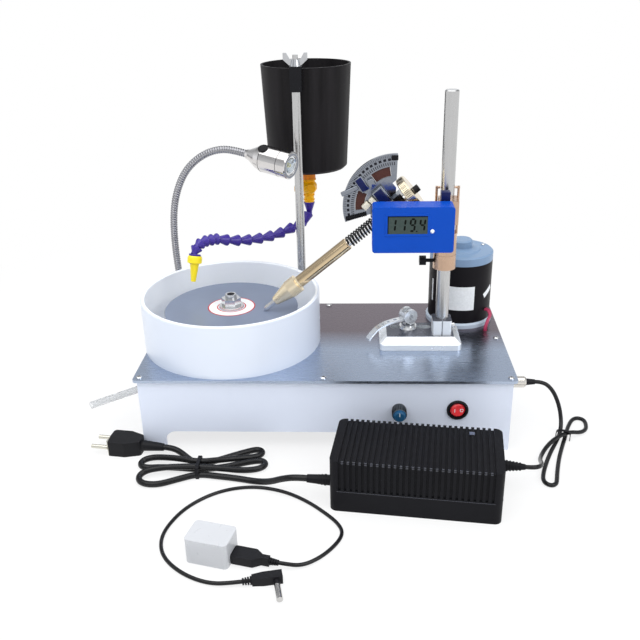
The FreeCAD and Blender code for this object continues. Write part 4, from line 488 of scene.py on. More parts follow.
@dataclass(frozen=True)
class FootMetal(PolishedMetal):
    """Bright cast metal, with a painted reflection that darkens its level top."""

    top: Colour = (0.1, 0.1, 0.1)
    level_from: float = 0.93
    level_at: float = 0.98

    def paint(self, graph: SurfaceGraph) -> None:
        """Darkens the faces that look straight up as a painted reflection, by the upright part of their
        normal.

        Args:
            graph: the material's graph.
        """
        super().paint(graph)
        facing = graph.add("ShaderNodeTexCoord").outputs["Normal"]
        upright = graph.add("ShaderNodeSeparateXYZ", {0: facing}).outputs["Z"]
        # Painted reflection: the faces that look straight up take the dark top colour, as if they mirrored
        # what the deck mirrors.
        level = graph.between(upright, 0.0, 1.0, self.level_from, self.level_at)
        graph.surface("Base Color", graph.shade(level, self.colour, self.top))


@dataclass(frozen=True)
class GroundDisc(Finish):
    """A flat disc ground in rings about an upright axis."""

    centre: Point = (0.0, 0.0, 0.0)
    roughness: float = 0.34
    metallic: float = 0.75

    def paint(self, graph: SurfaceGraph) -> None:
        """Makes rings from noise read along the radius, under a faint film.

        Args:
            graph: the material's graph.
        """
        line = graph.add("ShaderNodeCombineXYZ", {"X": graph.radius(self.centre)})
        noise = graph.add("ShaderNodeTexNoise", {"Vector": line.outputs[0], "Scale": 900.0, "Detail": 4.0})
        rings = noise.outputs["Fac"]
        ringed = graph.shade(rings, tint(self.colour, 0.82), tint(self.colour, 1.15))
        film = graph.between(graph.noise(scale=24.0, detail=4.0), 0.0, 0.3)
        graph.surface("Base Color", graph.shade(film, ringed, tint(self.colour, 1.3)))
        graph.surface("Metallic", self.metallic)
        graph.gloss(rings, self.roughness, low=0.85, high=1.2)
        graph.bump(rings, strength=0.12, distance=0.00006)


@dataclass(frozen=True)
class TwoTone(Finish):
    """One node in two finishes, parted by a plane."""

    second: Colour = (0.0, 0.0, 0.0)
    normal: Point = (0.0, 0.0, 1.0)
    level: float = 0.0
    metallic: tuple[float, float] = (0.0, 0.0)
    roughness: tuple[float, float] = (0.4, 0.4)
    shine: float = 0.5

    def paint(self, graph: SurfaceGraph) -> None:
        """Parts colour, metal and gloss at the plane; level is in millimetres.

        Args:
            graph: the material's graph.
        """
        side = graph.beyond(self.normal, self.level * MM)
        cloud = graph.noise(scale=120.0, detail=4.0)
        first = graph.shade(cloud, tint(self.colour, 0.92), tint(self.colour, 1.05))
        other = graph.shade(cloud, tint(self.second, 0.9), tint(self.second, 1.08))
        graph.surface("Base Color", graph.shade(side, first, other))
        if self.metallic[0] == self.metallic[1]:
            graph.surface("Metallic", self.metallic[0])
        else:
            graph.surface("Metallic", graph.between(side, *self.metallic, start=0.0, end=1.0))
        graph.surface("Specular IOR Level", self.shine)
        rough = graph.between(side, *self.roughness, start=0.0, end=1.0)
        graph.surface("Roughness", graph.math("ADD", rough, graph.between(cloud, -0.05, 0.06)))
        graph.bump(graph.noise(scale=1500.0, detail=2.0), strength=0.06, distance=0.00006)


@dataclass(frozen=True)
class ClearPlastic(Finish):
    """Milky clear tube or lens that lets light through."""

    roughness: float = 0.12
    ior: float = 1.45
    clear: float = 0.7

    def paint(self, graph: SurfaceGraph) -> None:
        """Mixes a clouded wall with transmission.

        Args:
            graph: the material's graph.
        """
        cloud = graph.noise(scale=70.0, detail=4.0)
        graph.surface("Base Color", graph.shade(cloud, tint(self.colour, 0.93), self.colour))
        graph.gloss(cloud, self.roughness, low=0.7, high=1.6)
        graph.surface("IOR", self.ior)
        graph.surface("Transmission Weight", self.clear)
        graph.bump(graph.noise(scale=260.0, detail=3.0), strength=0.05, distance=0.00008)


@dataclass(frozen=True)
class PrintedInk(Finish):
    """Print or paint on a surface, with a slightly uneven cover."""

    roughness: float = 0.5
    shine: float = 0.3

    def paint(self, graph: SurfaceGraph) -> None:
        """Varies the ink's depth.

        Args:
            graph: the material's graph.
        """
        cover = graph.noise(scale=420.0, detail=4.0)
        graph.surface("Specular IOR Level", self.shine)
        graph.surface("Base Color", graph.shade(cover, tint(self.colour, 0.85), tint(self.colour, 1.1)))
        graph.gloss(cover, self.roughness, low=0.85, high=1.2)


class Finishes:
    """Every finish of the machine, in a maker's plain words."""

    # Painted reflection: the colour behind darkens and warms the back half of the deck.
    DECK = DeckMetal(
        "brushed_deck", (0.46, 0.535, 0.67), roughness=0.27, lines=1100.0, contrast=0.06, relief=0.02,
        painted_reflection_behind=(0.22, 0.183, 0.206))
    PANEL = MouldedPlastic(
        "white_panel", (0.72, 0.77, 0.89), roughness=0.38, grain=1800.0, relief=0.05, coat=0.1,
        clouding=0.02)
    # Painted light: the paler inside colour brightens the bowl's inner wall.
    BOWL = BowlPlastic(
        "white_bowl", (0.73, 0.78, 0.88), roughness=0.34, grain=900.0, relief=0.05, coat=0.15,
        clouding=0.02, centre=LAP_AXIS, wall=98.0, painted_light_inside=(0.92, 0.95, 1.0))
    CHARGER = MouldedPlastic(
        "white_charger", (0.56, 0.57, 0.595), roughness=0.3, grain=1500.0, relief=0.06, coat=0.2,
        clouding=0.02)
    CLEAR_TUBE = ClearPlastic("clear_drain_tube", (0.93, 0.94, 0.95), ior=1.40, clear=0.8)
    SCREW = PolishedMetal("screw_chrome", (0.80, 0.81, 0.82), roughness=0.16, smudge=300.0)
    MACHINED = BrushedMetal("machined_steel", (0.55, 0.56, 0.57), along=Axis.Z, roughness=0.32)
    LAP = GroundDisc("ground_lap", (0.25, 0.295, 0.40), centre=LAP_AXIS, roughness=0.36, metallic=0.5)
    PULLEY = BrushedMetal("pulley_aluminium", (0.62, 0.63, 0.64), along=Axis.Z, roughness=0.35)
    BELT = MouldedPlastic(
        "belt_rubber", (0.02, 0.02, 0.021), roughness=0.7, grain=1600.0, relief=0.3, clouding=0.1,
        shine=0.15)
    MOTOR_CAN = MouldedPlastic(
        "motor_black", (0.009, 0.008, 0.010), roughness=0.36, grain=1200.0, relief=0.1, clouding=0.2,
        shine=0.08)
    MOTOR_ENDS = TwoTone(
        "motor_cast_grey", (0.50, 0.58, 0.68), second=(0.19, 0.29, 0.44), level=125.0,
        roughness=(0.36, 0.36), shine=0.4)
    RED_LEAD = MouldedPlastic("red_lead", (0.42, 0.035, 0.10), roughness=0.42, grain=1300.0, relief=0.1)
    BOARD = MouldedPlastic("green_board", (0.04, 0.20, 0.09), roughness=0.4, grain=800.0, relief=0.2)
    BLACK = MouldedPlastic(
        "black_plastic", (0.009, 0.009, 0.011), roughness=0.4, grain=2000.0, relief=0.2, clouding=0.2,
        shine=0.12)
    ADAPTER = MouldedPlastic(
        "adapter_black", (0.008, 0.008, 0.010), roughness=0.42, grain=2600.0, relief=0.25, clouding=0.2,
        shine=0.09)
    PILOT = MouldedPlastic(
        "pilot_light", (0.10, 0.115, 0.17), roughness=0.25, grain=1500.0, relief=0.05, clouding=0.1,
        shine=0.4)
    EDGE = MouldedPlastic(
        "adapter_edge", (0.016, 0.018, 0.030), roughness=0.22, grain=2000.0, relief=0.05, clouding=0.1,
        shine=0.7)
    TANK = StreakedPlastic(
        "tank_black", (0.010, 0.009, 0.010), roughness=0.46, grain=900.0, relief=0.08, clouding=0.15,
        shine=0.1)
    CORD = MouldedPlastic(
        "cord_black", (0.007, 0.007, 0.008), roughness=0.24, grain=1500.0, relief=0.1, clouding=0.2,
        shine=0.3)
    RED_SWITCH = MouldedPlastic(
        "red_rocker", (0.84, 0.045, 0.055), roughness=0.25, grain=1500.0, relief=0.05, coat=0.3)
    # Painted reflection: the dark top colour stands in for what the level top mirrors.
    FOOT = FootMetal(
        "polished_foot", (0.86, 0.89, 0.92), roughness=0.24, smudge=30.0, metallic=0.45,
        top=(0.10, 0.107, 0.135))
    LEVER = PolishedMetal("chromed_lever", (0.80, 0.83, 0.86), roughness=0.16, smudge=90.0, metallic=0.6)
    WING = PolishedMetal("wing_chrome", (0.56, 0.57, 0.59), roughness=0.1, smudge=200.0)
    ROD = BrushedMetal(
        "satin_rod", (0.58, 0.58, 0.58), along=Axis.Z, roughness=0.24, lines=1300.0, contrast=0.10)
    SHAFT = PolishedMetal("bright_shaft", (0.86, 0.86, 0.86), roughness=0.14, smudge=120.0)
    COPPER = PolishedMetal("copper_collar", (0.62, 0.43, 0.31), roughness=0.26)
    BRASS = PolishedMetal("pale_brass", (0.69, 0.54, 0.345), roughness=0.13, smudge=45.0)
    CHUCK = PolishedMetal("bright_brass", (0.90, 0.77, 0.55), roughness=0.2, metallic=0.72)
    BLUE = MouldedPlastic(
        "blue_case", (0.002, 0.063, 0.44), roughness=0.34, grain=1900.0, clouding=0.08, shine=0.12)
    LCD = MouldedPlastic(
        "olive_lcd", (0.048, 0.068, 0.062), roughness=0.25, grain=500.0, relief=0.03, clouding=0.08,
        shine=0.12)
    INK = PrintedInk("black_digits", (0.004, 0.005, 0.004), shine=0.05)
    WHITE_DOT = MouldedPlastic(
        "white_button", (0.80, 0.84, 0.90), roughness=0.25, grain=1500.0, relief=0.05, coat=0.2)
    CHROME = PolishedMetal("head_chrome", (0.26, 0.28, 0.32), roughness=0.14, smudge=420.0)
    NAVY = MouldedPlastic(
        "navy_faces", (0.008, 0.013, 0.075), roughness=0.2, grain=900.0, relief=0.03, clouding=0.2,
        shine=0.15)
    IVORY = MouldedPlastic(
        "ivory_block", (0.80, 0.75, 0.62), roughness=0.3, grain=1200.0, relief=0.05, coat=0.2,
        clouding=0.05)
    BROWN = MouldedPlastic(
        "red_brown_back", (0.085, 0.034, 0.027), roughness=0.45, grain=900.0, relief=0.1, clouding=0.2,
        shine=0.12)
    SPRING = BrushedMetal("oiled_spring", (0.035, 0.035, 0.037), roughness=0.32)
    YELLOW = MouldedPlastic(
        "yellow_nozzle", (0.93, 0.74, 0.01), roughness=0.32, grain=1100.0, relief=0.06, coat=0.15)
    GOLDEN = MouldedPlastic(
        "golden_tap", (0.98, 0.46, 0.006), roughness=0.34, grain=1100.0, relief=0.06, shine=0.25)
    VALVE = TwoTone(
        "orange_and_golden_valve", (0.98, 0.50, 0.006), second=(0.96, 0.26, 0.003), level=234.6,
        roughness=(0.32, 0.32), shine=0.25)
    VIOLET = MouldedPlastic(
        "violet_hose", (0.045, 0.024, 0.27), roughness=0.22, grain=1300.0, relief=0.05, coat=0.1,
        clouding=0.12, shine=0.4)
    NECK = PolishedMetal("neck_chrome", (0.36, 0.36, 0.38), roughness=0.2, smudge=150.0)
    LAMP = PolishedMetal("lamp_aluminium", (0.74, 0.72, 0.71), roughness=0.13)
    LENS = ClearPlastic("lamp_lens", (0.90, 0.95, 0.98), roughness=0.04, ior=1.5, clear=0.85)
    REFLECTOR = PolishedMetal("lamp_reflector", (0.80, 0.83, 0.86), roughness=0.1, smudge=200.0)
    LABEL = PrintedInk("label_white", (0.80, 0.82, 0.84), roughness=0.45)
    LABEL_RED = PrintedInk("label_red", (0.55, 0.03, 0.03), roughness=0.45)
    # Near black for engraved ticks, marks and seams, and painted shade in the screw slots and the stud's
    # well.
    TICK_AND_SHADE = PrintedInk("engraved_tick", (0.015, 0.015, 0.02), shine=0.1)
    KNOB = TwoTone(
        "grey_knob_blue_cap", (0.07, 0.085, 0.10), second=(0.016, 0.088, 0.19), normal=(0.0, -1.0, 0.0),
        level=111.4, roughness=(0.4, 0.28), shine=0.25)
    WHEEL = TwoTone(
        "brass_wheel_black_knob", (0.84, 0.73, 0.54), second=(0.010, 0.010, 0.012), normal=QUILL_RISE,
        level=238.65, metallic=(1.0, 0.0), roughness=(0.2, 0.45), shine=0.2)
    PINNED_PLUG = TwoTone(
        "black_plug_bright_pins", (0.010, 0.010, 0.012), second=(0.72, 0.70, 0.62),
        normal=(-1.0, 0.0, 0.0), level=231.2, metallic=(0.0, 1.0), roughness=(0.42, 0.22), shine=0.16)
    POWER_PLUG = TwoTone(
        "nickel_coupling_black_boot", (0.74, 0.71, 0.66), second=(0.010, 0.010, 0.012),
        normal=(1.0, 0.0, 0.0), level=221.0, metallic=(1.0, 0.0), roughness=(0.2, 0.4), shine=0.16)
    BARREL_PLUG = TwoTone(
        "black_grip_bright_pin", (0.010, 0.010, 0.012), second=(0.62, 0.61, 0.60),
        normal=(0.0, -1.0, 0.0), level=309.6, metallic=(0.0, 1.0), roughness=(0.42, 0.2), shine=0.16)


CAD_FINISHES: dict[Finish, tuple[str, ...]] = {
    Finishes.DECK: ("top_plate",),
    Finishes.PANEL: ("front_panel", "base_shell"),
    Finishes.SCREW: ("plate_screws", "lap_nut", "power_socket", "clamp_stud"),
    Finishes.WING: ("wing_nut",),
    Finishes.BOWL: ("splash_bowl",),
    Finishes.CHARGER: ("usb_charger",),
    Finishes.CLEAR_TUBE: ("drain_tube",),
    Finishes.MACHINED: ("spindle", "spindle_housing", "motor_rotor"),
    Finishes.LAP: ("lap_disc",),
    Finishes.PULLEY: ("driven_pulley", "motor_pulley"),
    Finishes.BELT: ("drive_belt",),
    Finishes.MOTOR_CAN: ("motor_can",),
    Finishes.MOTOR_ENDS: ("motor_ends",),
    Finishes.RED_LEAD: ("motor_leads",),
    Finishes.KNOB: ("speed_knob",),
    Finishes.BOARD: ("speed_control",),
    Finishes.BLACK: ("switch_body", "tank_clamp", "collar_screw", "lamp_button", "adapter_boots"),
    Finishes.POWER_PLUG: ("power_plug",),
    Finishes.BARREL_PLUG: ("lamp_lead_plugs",),
    Finishes.RED_SWITCH: ("switch_rocker",),
    Finishes.ADAPTER: ("adapter_case",),
    Finishes.PINNED_PLUG: ("mains_plug",),
    Finishes.CORD: ("dc_cord", "mains_cord", "lamp_lead"),
    Finishes.LEVER: ("cam_lever",),
    Finishes.FOOT: ("mast_foot",),
    Finishes.ROD: ("mast_rod", "tank_rod"),
    Finishes.SHAFT: ("quill_shaft", "dop_stick"),
    Finishes.COPPER: ("stop_collar", "carriage_sleeve"),
    Finishes.BLUE: ("display_case",),
    Finishes.LCD: ("display_lcd",),
    Finishes.WHITE_DOT: ("display_button",),
    Finishes.CHROME: ("quill_block", "angle_sector"),
    Finishes.SPRING: ("quill_spring",),
    Finishes.BRASS: ("quill_tube",),
    Finishes.CHUCK: ("quill_chuck",),
    Finishes.WHEEL: ("index_wheel",),
    Finishes.TANK: ("drip_tank",),
    Finishes.VALVE: ("tank_valve",),
    Finishes.GOLDEN: ("valve_tap",),
    Finishes.VIOLET: ("coolant_hose",),
    Finishes.YELLOW: ("hose_nozzle",),
    Finishes.NECK: ("lamp_neck",),
    Finishes.LAMP: ("lamp_head",),
}


def show(name: str, mesh: bpy.types.Mesh, finish: Finish | None, body: Body) -> bpy.types.Object:
    """Puts a finished mesh into the scene on a body.

    Args:
        name: the piece's name.
        mesh: its mesh, in the row frame.
        finish: its finish, or None where the mesh has its materials already.
        body: the body that it rides on.

    Returns:
        The new object.
    """
    mesh.name = name
    if finish is not None:
        mesh.materials.clear()
        mesh.materials.append(finish.material())
    piece = bpy.data.objects.new(name, mesh)
    bpy.context.scene.collection.objects.link(piece)
    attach(piece, body.value)
    LOG.info("%s rides on %s", name, body.value)
    return piece


def made(shape: bmesh.types.BMesh, name: str, frame: Matrix | None = None) -> bpy.types.Mesh:
    """Turns a bmesh into a mesh and frees it.

    Args:
        shape: the bmesh, in metres.
        name: the mesh's name.
        frame: where the shape stands, or None where it is in place already.

    Returns:
        The mesh.
    """
    if frame is not None:
        shape.transform(frame)
    mesh = bpy.data.meshes.new(name)
    shape.to_mesh(mesh)
    shape.free()
    return mesh


def smooth(mesh: bpy.types.Mesh, angle: float = 35.0) -> bpy.types.Mesh:
    """Smooths a mesh except at its sharp edges.

    Args:
        mesh: the mesh to smooth.
        angle: edges sharper than this, in degrees, stay sharp.

    Returns:
        The same mesh.
    """
    shape = bmesh.new()
    shape.from_mesh(mesh)
    for face in shape.faces:
        face.smooth = True
    for edge in shape.edges:
        edge.smooth = len(edge.link_faces) == 2 and edge.calc_face_angle(0.0) < math.radians(angle)
    shape.to_mesh(mesh)
    shape.free()
    return mesh


def axis_frame(origin: Sequence[float], along: Sequence[float]) -> Matrix:
    """Returns the matrix that puts local Z on a direction at a point in millimetres."""
    turn = Vector(along).to_track_quat("Z", "Y").to_matrix().to_4x4()
    return Matrix.Translation(metres(origin)) @ turn


def moved(*place: float) -> Matrix:
    """Returns the matrix that moves by a distance in millimetres along X, Y and Z."""
    return Matrix.Translation(metres(place))


def circle(shape: bmesh.types.BMesh, radius: float, height: float,
           segments: int) -> list[bmesh.types.BMVert]:
    """Adds the points of a level circle about Z.

    Args:
        shape: the bmesh that gets them.
        radius: the circle's radius in millimetres.
        height: its height in millimetres.
        segments: how many points.

    Returns:
        The points, or the one point in the middle where the radius is nothing.
    """
    if radius < 1e-6:
        return [shape.verts.new((0.0, 0.0, height * MM))]
    points = []
    for step in range(segments):
        angle = 2 * math.pi * step / segments
        place = (radius * MM * math.cos(angle), radius * MM * math.sin(angle), height * MM)
        points.append(shape.verts.new(place))
    return points


def band(shape: bmesh.types.BMesh, low: list[bmesh.types.BMVert], high: list[bmesh.types.BMVert],
         segments: int) -> None:
    """Closes the band between two circles, either of which may be one point.

    Args:
        shape: the bmesh that gets the faces.
        low: the first circle.
        high: the second circle.
        segments: sides round the axis.
    """
    for step in range(segments):
        after = (step + 1) % segments
        if len(low) == 1:
            shape.faces.new((low[0], high[after], high[step]))
        elif len(high) == 1:
            shape.faces.new((low[step], low[after], high[0]))
        else:
            shape.faces.new((low[step], low[after], high[after], high[step]))


def turned(profile: Sequence[tuple[float, float]], frame: Matrix, segments: int = 48) -> bpy.types.Mesh:
    """Makes a turned mesh.

    Args:
        profile: (radius, height) corners in millimetres, from one end of the axis to the other.
        frame: where the turned piece stands.
        segments: sides round the axis.

    Returns:
        A closed mesh.
    """
    shape = bmesh.new()
    rows = [circle(shape, radius, height, segments) for radius, height in profile]
    for low, high in zip(rows, rows[1:]):
        band(shape, low, high, segments)
    for row in (list(reversed(rows[0])), rows[-1]):
        if len(row) > 1:
            shape.faces.new(row)
    bmesh.ops.recalc_face_normals(shape, faces=shape.faces)
    return smooth(made(shape, "turned", frame))


def ring_plate(inner: float, outer: float, thick: float, frame: Matrix,
               segments: int = 72) -> bpy.types.Mesh:
    """Makes a flat ring with a little thickness.

    Args:
        inner: the inner radius in millimetres.
        outer: the outer radius in millimetres.
        thick: the thickness in millimetres.
        frame: where the ring lies, its back on the frame's level.
        segments: sides round the axis.

    Returns:
        A closed mesh.
    """
    shape = bmesh.new()
    corners = ((inner, 0.0), (outer, 0.0), (outer, thick), (inner, thick))
    rows = [circle(shape, radius, height, segments) for radius, height in corners]
    for low, high in zip(rows, rows[1:] + rows[:1]):
        band(shape, low, high, segments)
    bmesh.ops.recalc_face_normals(shape, faces=shape.faces)
    return smooth(made(shape, "ring", frame))


def block(size: Sequence[float], frame: Matrix, bevel: float = 0.4) -> bpy.types.Mesh:
    """Makes a block with rounded edges.

    Args:
        size: its three sides in millimetres.
        frame: its middle and turn.
        bevel: the edges' radius in millimetres.

    Returns:
        A closed mesh.
    """
    shape = bmesh.new()
    bmesh.ops.create_cube(shape, size=1.0)
    bmesh.ops.scale(shape, vec=metres(size), verts=shape.verts)
    bmesh.ops.bevel(shape, geom=shape.edges[:], offset=bevel * MM, segments=3, profile=0.5, affect="EDGES")
    return smooth(made(shape, "block", frame), angle=50.0)


def plate(outline: Sequence[tuple[float, float]], thick: float, frame: Matrix) -> bpy.types.Mesh:
    """Makes a flat plate.

    Args:
        outline: its corners in millimetres.
        thick: the thickness along the frame's Z, in millimetres.
        frame: where the plate lies.

    Returns:
        A closed mesh.
    """
    shape = bmesh.new()
    low = [shape.verts.new((x * MM, y * MM, 0.0)) for x, y in outline]
    face = shape.faces.new(low)
    grown = bmesh.ops.extrude_face_region(shape, geom=[face])
    lifted = [item for item in grown["geom"] if isinstance(item, bmesh.types.BMVert)]
    bmesh.ops.translate(shape, vec=(0.0, 0.0, thick * MM), verts=lifted)
    bmesh.ops.recalc_face_normals(shape, faces=shape.faces)
    return made(shape, "plate", frame)


def joined(meshes: Sequence[bpy.types.Mesh]) -> bpy.types.Mesh:
    """Returns one mesh that holds several."""
    shape = bmesh.new()
    for mesh in meshes:
        shape.from_mesh(mesh)
    return smooth(made(shape, "joined"))


@dataclass(frozen=True)
class WallLabel:
    """A thin label wrapped on an upright cylinder; angles are in degrees."""

    level: float
    height: float
    heading: float
    width: float
    lean: float = 0.0
    gap: float = 0.03
    thick: float = 0.15
    columns: int = 16
    rows: int = 6

    def mesh(self, axis: tuple[float, float], radius: float) -> bpy.types.Mesh:
        """Wraps the label.

        Args:
            axis: the cylinder's axis, in millimetres.
            radius: the cylinder's radius.

        Returns:
            A closed mesh.
        """
        shape = bmesh.new()
        bottom = self.sheet(shape, axis, radius, self.gap)
        top = self.sheet(shape, axis, radius, self.thick)
        for grid in (bottom, top):
            for low, high in zip(grid, grid[1:]):
                for column in range(self.columns):
                    shape.faces.new((low[column], low[column + 1], high[column + 1], high[column]))
        border = self.border()
        for (row, column), (next_row, next_column) in zip(border, border[1:] + border[:1]):
            shape.faces.new((bottom[row][column], bottom[next_row][next_column],
                             top[next_row][next_column], top[row][column]))
        bmesh.ops.recalc_face_normals(shape, faces=shape.faces)
        return smooth(made(shape, "label"))

    def sheet(self, shape: bmesh.types.BMesh, axis: tuple[float, float], radius: float,
              extra: float) -> list[list[bmesh.types.BMVert]]:
        """Adds the points of one side of the label.

        Args:
            shape: the bmesh that gets them.
            axis: the cylinder's axis.
            radius: the cylinder's radius.
            extra: how far the points stand off the wall.

        Returns:
            The points, row by row from the bottom.
        """
        tilt = math.radians(self.lean)
        grid = []
        for row in range(self.rows + 1):
            up = self.height * (row / self.rows - 0.5)
            line = []
            for column in range(self.columns + 1):
                across = self.width * (column / self.columns - 0.5)
                slid = across * math.cos(tilt) - up * math.sin(tilt)
                lifted = across * math.sin(tilt) + up * math.cos(tilt)
                angle = math.radians(self.heading) + slid / radius
                line.append(shape.verts.new(metres((
                    axis[0] + (radius + extra) * math.cos(angle),
                    axis[1] + (radius + extra) * math.sin(angle), self.level + lifted))))
            grid.append(line)
        return grid

    def border(self) -> list[tuple[int, int]]:
        """Returns the places round the label's edge as (row, column), in order."""
        up = [(row, 0) for row in range(self.rows + 1)]
        over = [(self.rows, column) for column in range(1, self.columns + 1)]
        down = [(row, self.columns) for row in range(self.rows - 1, -1, -1)]
        back = [(0, column) for column in range(self.columns - 1, 0, -1)]
        return up + over + down + back


@dataclass(frozen=True)
class BootRibs:
    """Ribs of a strain relief, each a little smaller than the one before it."""

    count: int
    inner: float
    widest: float
    taper: float
    first: float
    pitch: float
    half: float
    sides: int

    def rings(self, root: Sequence[float], along: Sequence[float], stand: Matrix) -> list[bpy.types.Mesh]:
        """Makes the ribs.

        Args:
            root: where the relief starts, in millimetres.
            along: the direction that it leaves in.
            stand: the frame that root and along are given in.

        Returns:
            One mesh for each rib.
        """
        rings = []
        for step in range(self.count):
            outer = self.widest - self.taper * step
            spot = Vector(root) + Vector(along) * (self.first + self.pitch * step)
            profile = [(self.inner, -self.half), (outer, -self.half),
                       (outer, self.half), (self.inner, self.half)]
            rings.append(turned(profile, stand @ axis_frame(spot, along), self.sides))
        return rings


def route_curve(name: str, route: Sequence[Point], radius: float = 0.0) -> bpy.types.Object:
    """Makes a smooth NURBS curve with a route's points as its control points.

    Args:
        name: the curve's name.
        route: control points in millimetres.
        radius: thickness round the line, or 0 for the bare line.

    Returns:
        The curve object, linked to the scene.
    """
    curve = bpy.data.curves.new(name, "CURVE")
    curve.dimensions = "3D"
    curve.resolution_u = 10
    curve.bevel_depth = radius * MM
    curve.bevel_resolution = 5
    curve.use_fill_caps = True
    spline = curve.splines.new("NURBS")
    spline.points.add(len(route) - 1)
    for control, place in zip(spline.points, route):
        control.co = (*metres(place), 1.0)
    spline.order_u = 3
    spline.use_endpoint_u = True
    piece = bpy.data.objects.new(name, curve)
    bpy.context.scene.collection.objects.link(piece)
    return piece


def carrier_mesh(name: str, mesh: bpy.types.Mesh | None = None) -> bpy.types.Object:
    """Returns a bare object for a node tree to run on or to repeat."""
    holder = bpy.data.objects.new(name, mesh or bpy.data.meshes.new(name))
    bpy.context.scene.collection.objects.link(holder)
    return holder


def discard(*holders: bpy.types.Object) -> None:
    """Removes objects that only helped to make a piece."""
    for holder in holders:
        bpy.data.objects.remove(holder, do_unlink=True)


class RepeatTree(NodeGraph):
    """A Geometry Nodes tree that repeats one small mesh and gives the result a material."""

    def __init__(self, name: str, sizes: dict[str, float], finish: Finish) -> None:
        """Makes the tree with one named float input for each size.

        Args:
            name: the tree's name.
            sizes: the values of its named inputs.
            finish: the result's finish.
        """
        tree = bpy.data.node_groups.new(name, "GeometryNodeTree")
        super().__init__(tree)
        self.finish = finish
        self.sizes = sizes
        self.samples: list[bpy.types.Object] = []
        tree.interface.new_socket("Geometry", in_out="INPUT", socket_type="NodeSocketGeometry")
        self.names: dict[str, str] = {}
        for size in sizes:
            socket = tree.interface.new_socket(size, in_out="INPUT", socket_type="NodeSocketFloat")
            self.names[size] = socket.identifier
        tree.interface.new_socket("Geometry", in_out="OUTPUT", socket_type="NodeSocketGeometry")
        self.entry = self.add("NodeGroupInput")

    def size(self, name: str) -> bpy.types.NodeSocket:
        """Returns a named input."""
        return self.entry.outputs[name]

    def repeat(self, link: bpy.types.Mesh, points: bpy.types.NodeSocket,
               turn: bpy.types.NodeSocket | None = None) -> None:
        """Puts a copy of a mesh on every point and ends the tree.

        Args:
            link: the mesh to repeat.
            points: the places of the copies.
            turn: the copies' turns, or None where they stand as the mesh does.
        """
        sample = carrier_mesh(self.tree.name + "_link", link)
        self.samples.append(sample)
        info = self.add("GeometryNodeObjectInfo", {"Object": sample})
        spread = self.add("GeometryNodeInstanceOnPoints", {
            "Points": points, "Instance": info.outputs["Geometry"]})
        if turn is not None:
            self.feed(spread.inputs["Rotation"], turn)
        self.close(spread.outputs[0])

    def close(self, instances: bpy.types.NodeSocket) -> None:
        """Ends the tree by making the copies real and dressing them.

        Args:
            instances: the copies.
        """
        real = self.add("GeometryNodeRealizeInstances", {"Geometry": instances})
        dressed = self.add("GeometryNodeSetMaterial", {"Geometry": real.outputs[0]})
        dressed.inputs["Material"].default_value = self.finish.material()
        output = self.add("NodeGroupOutput")
        self.tree.links.new(dressed.outputs[0], output.inputs[0])

    def grow(self, carrier: bpy.types.Object) -> bpy.types.Mesh:
        """Runs the tree on an object and removes what only helped.

        Args:
            carrier: the object to run on.

        Returns:
            The result as a plain mesh.
        """
        modifier = carrier.modifiers.new("repeat", "NODES")
        modifier.node_group = self.tree
        for name, value in self.sizes.items():
            modifier[self.names[name]] = float(value)
        depsgraph = bpy.context.evaluated_depsgraph_get()
        mesh = bpy.data.meshes.new_from_object(carrier.evaluated_get(depsgraph))
        carrier.modifiers.remove(modifier)
        discard(*self.samples, carrier)
        return mesh


def along_curve(name: str, link: bpy.types.Mesh, route: Sequence[Point], count: int,
                finish: Finish) -> bpy.types.Mesh:
    """Repeats a link along a route, its Z axis along the line.

    Args:
        name: the tree's name.
        link: the mesh to repeat.
        route: control points of the line that it follows, in millimetres.
        count: how many links.
        finish: the links' finish.

    Returns:
        A plain mesh of all links.
    """
    tree = RepeatTree(name, {"Count": count}, finish)
    points = tree.add("GeometryNodeCurveToPoints",
                      {"Curve": tree.size("Geometry"), "Count": tree.size("Count")}, mode="COUNT")
    turn = tree.add("FunctionNodeAlignRotationToVector", {"Vector": points.outputs["Tangent"]}, axis="Z")
    tree.repeat(link, points.outputs["Points"], turn.outputs[0])
    return tree.grow(route_curve(name + "_line", route))


def round_axis(name: str, link: bpy.types.Mesh, radius: float, count: int, frame: Matrix, finish: Finish,
               start: float = 0.0, sweep: float = FULL_TURN) -> bpy.types.Mesh:
    """Repeats a mesh on a circle or arc, turned with the radius.

    Args:
        name: the tree's name.
        link: the mesh to repeat; its X axis points outwards.
        radius: the circle's radius in millimetres.
        count: how many copies.
        frame: the circle's axis and middle.
        finish: the copies' finish.
        start: heading of the first copy in degrees.
        sweep: angle from the first to the last copy, or a full turn for a circle.

    Returns:
        A plain mesh in the row frame.
    """
    gaps = count if sweep == FULL_TURN else count - 1
    tree = RepeatTree(name, {"Radius": radius * MM, "Count": count, "Start": math.radians(start),
                             "Step": math.radians(sweep / gaps)}, finish)
    index = tree.add("GeometryNodeInputIndex")
    swept = tree.math("MULTIPLY_ADD", index.outputs[0], tree.size("Step"), tree.size("Start"))
    across = tree.math("MULTIPLY", tree.math("COSINE", swept), tree.size("Radius"))
    up = tree.math("MULTIPLY", tree.math("SINE", swept), tree.size("Radius"))
    spot = tree.add("ShaderNodeCombineXYZ", {"X": across, "Y": up})
    points = tree.add("GeometryNodePoints", {"Count": tree.size("Count"), "Position": spot.outputs[0]})
    turn = tree.add("ShaderNodeCombineXYZ", {"Z": swept})
    tree.repeat(link, points.outputs[0], turn.outputs[0])
    mesh = tree.grow(carrier_mesh(name + "_holder"))
    mesh.transform(frame)
    return mesh


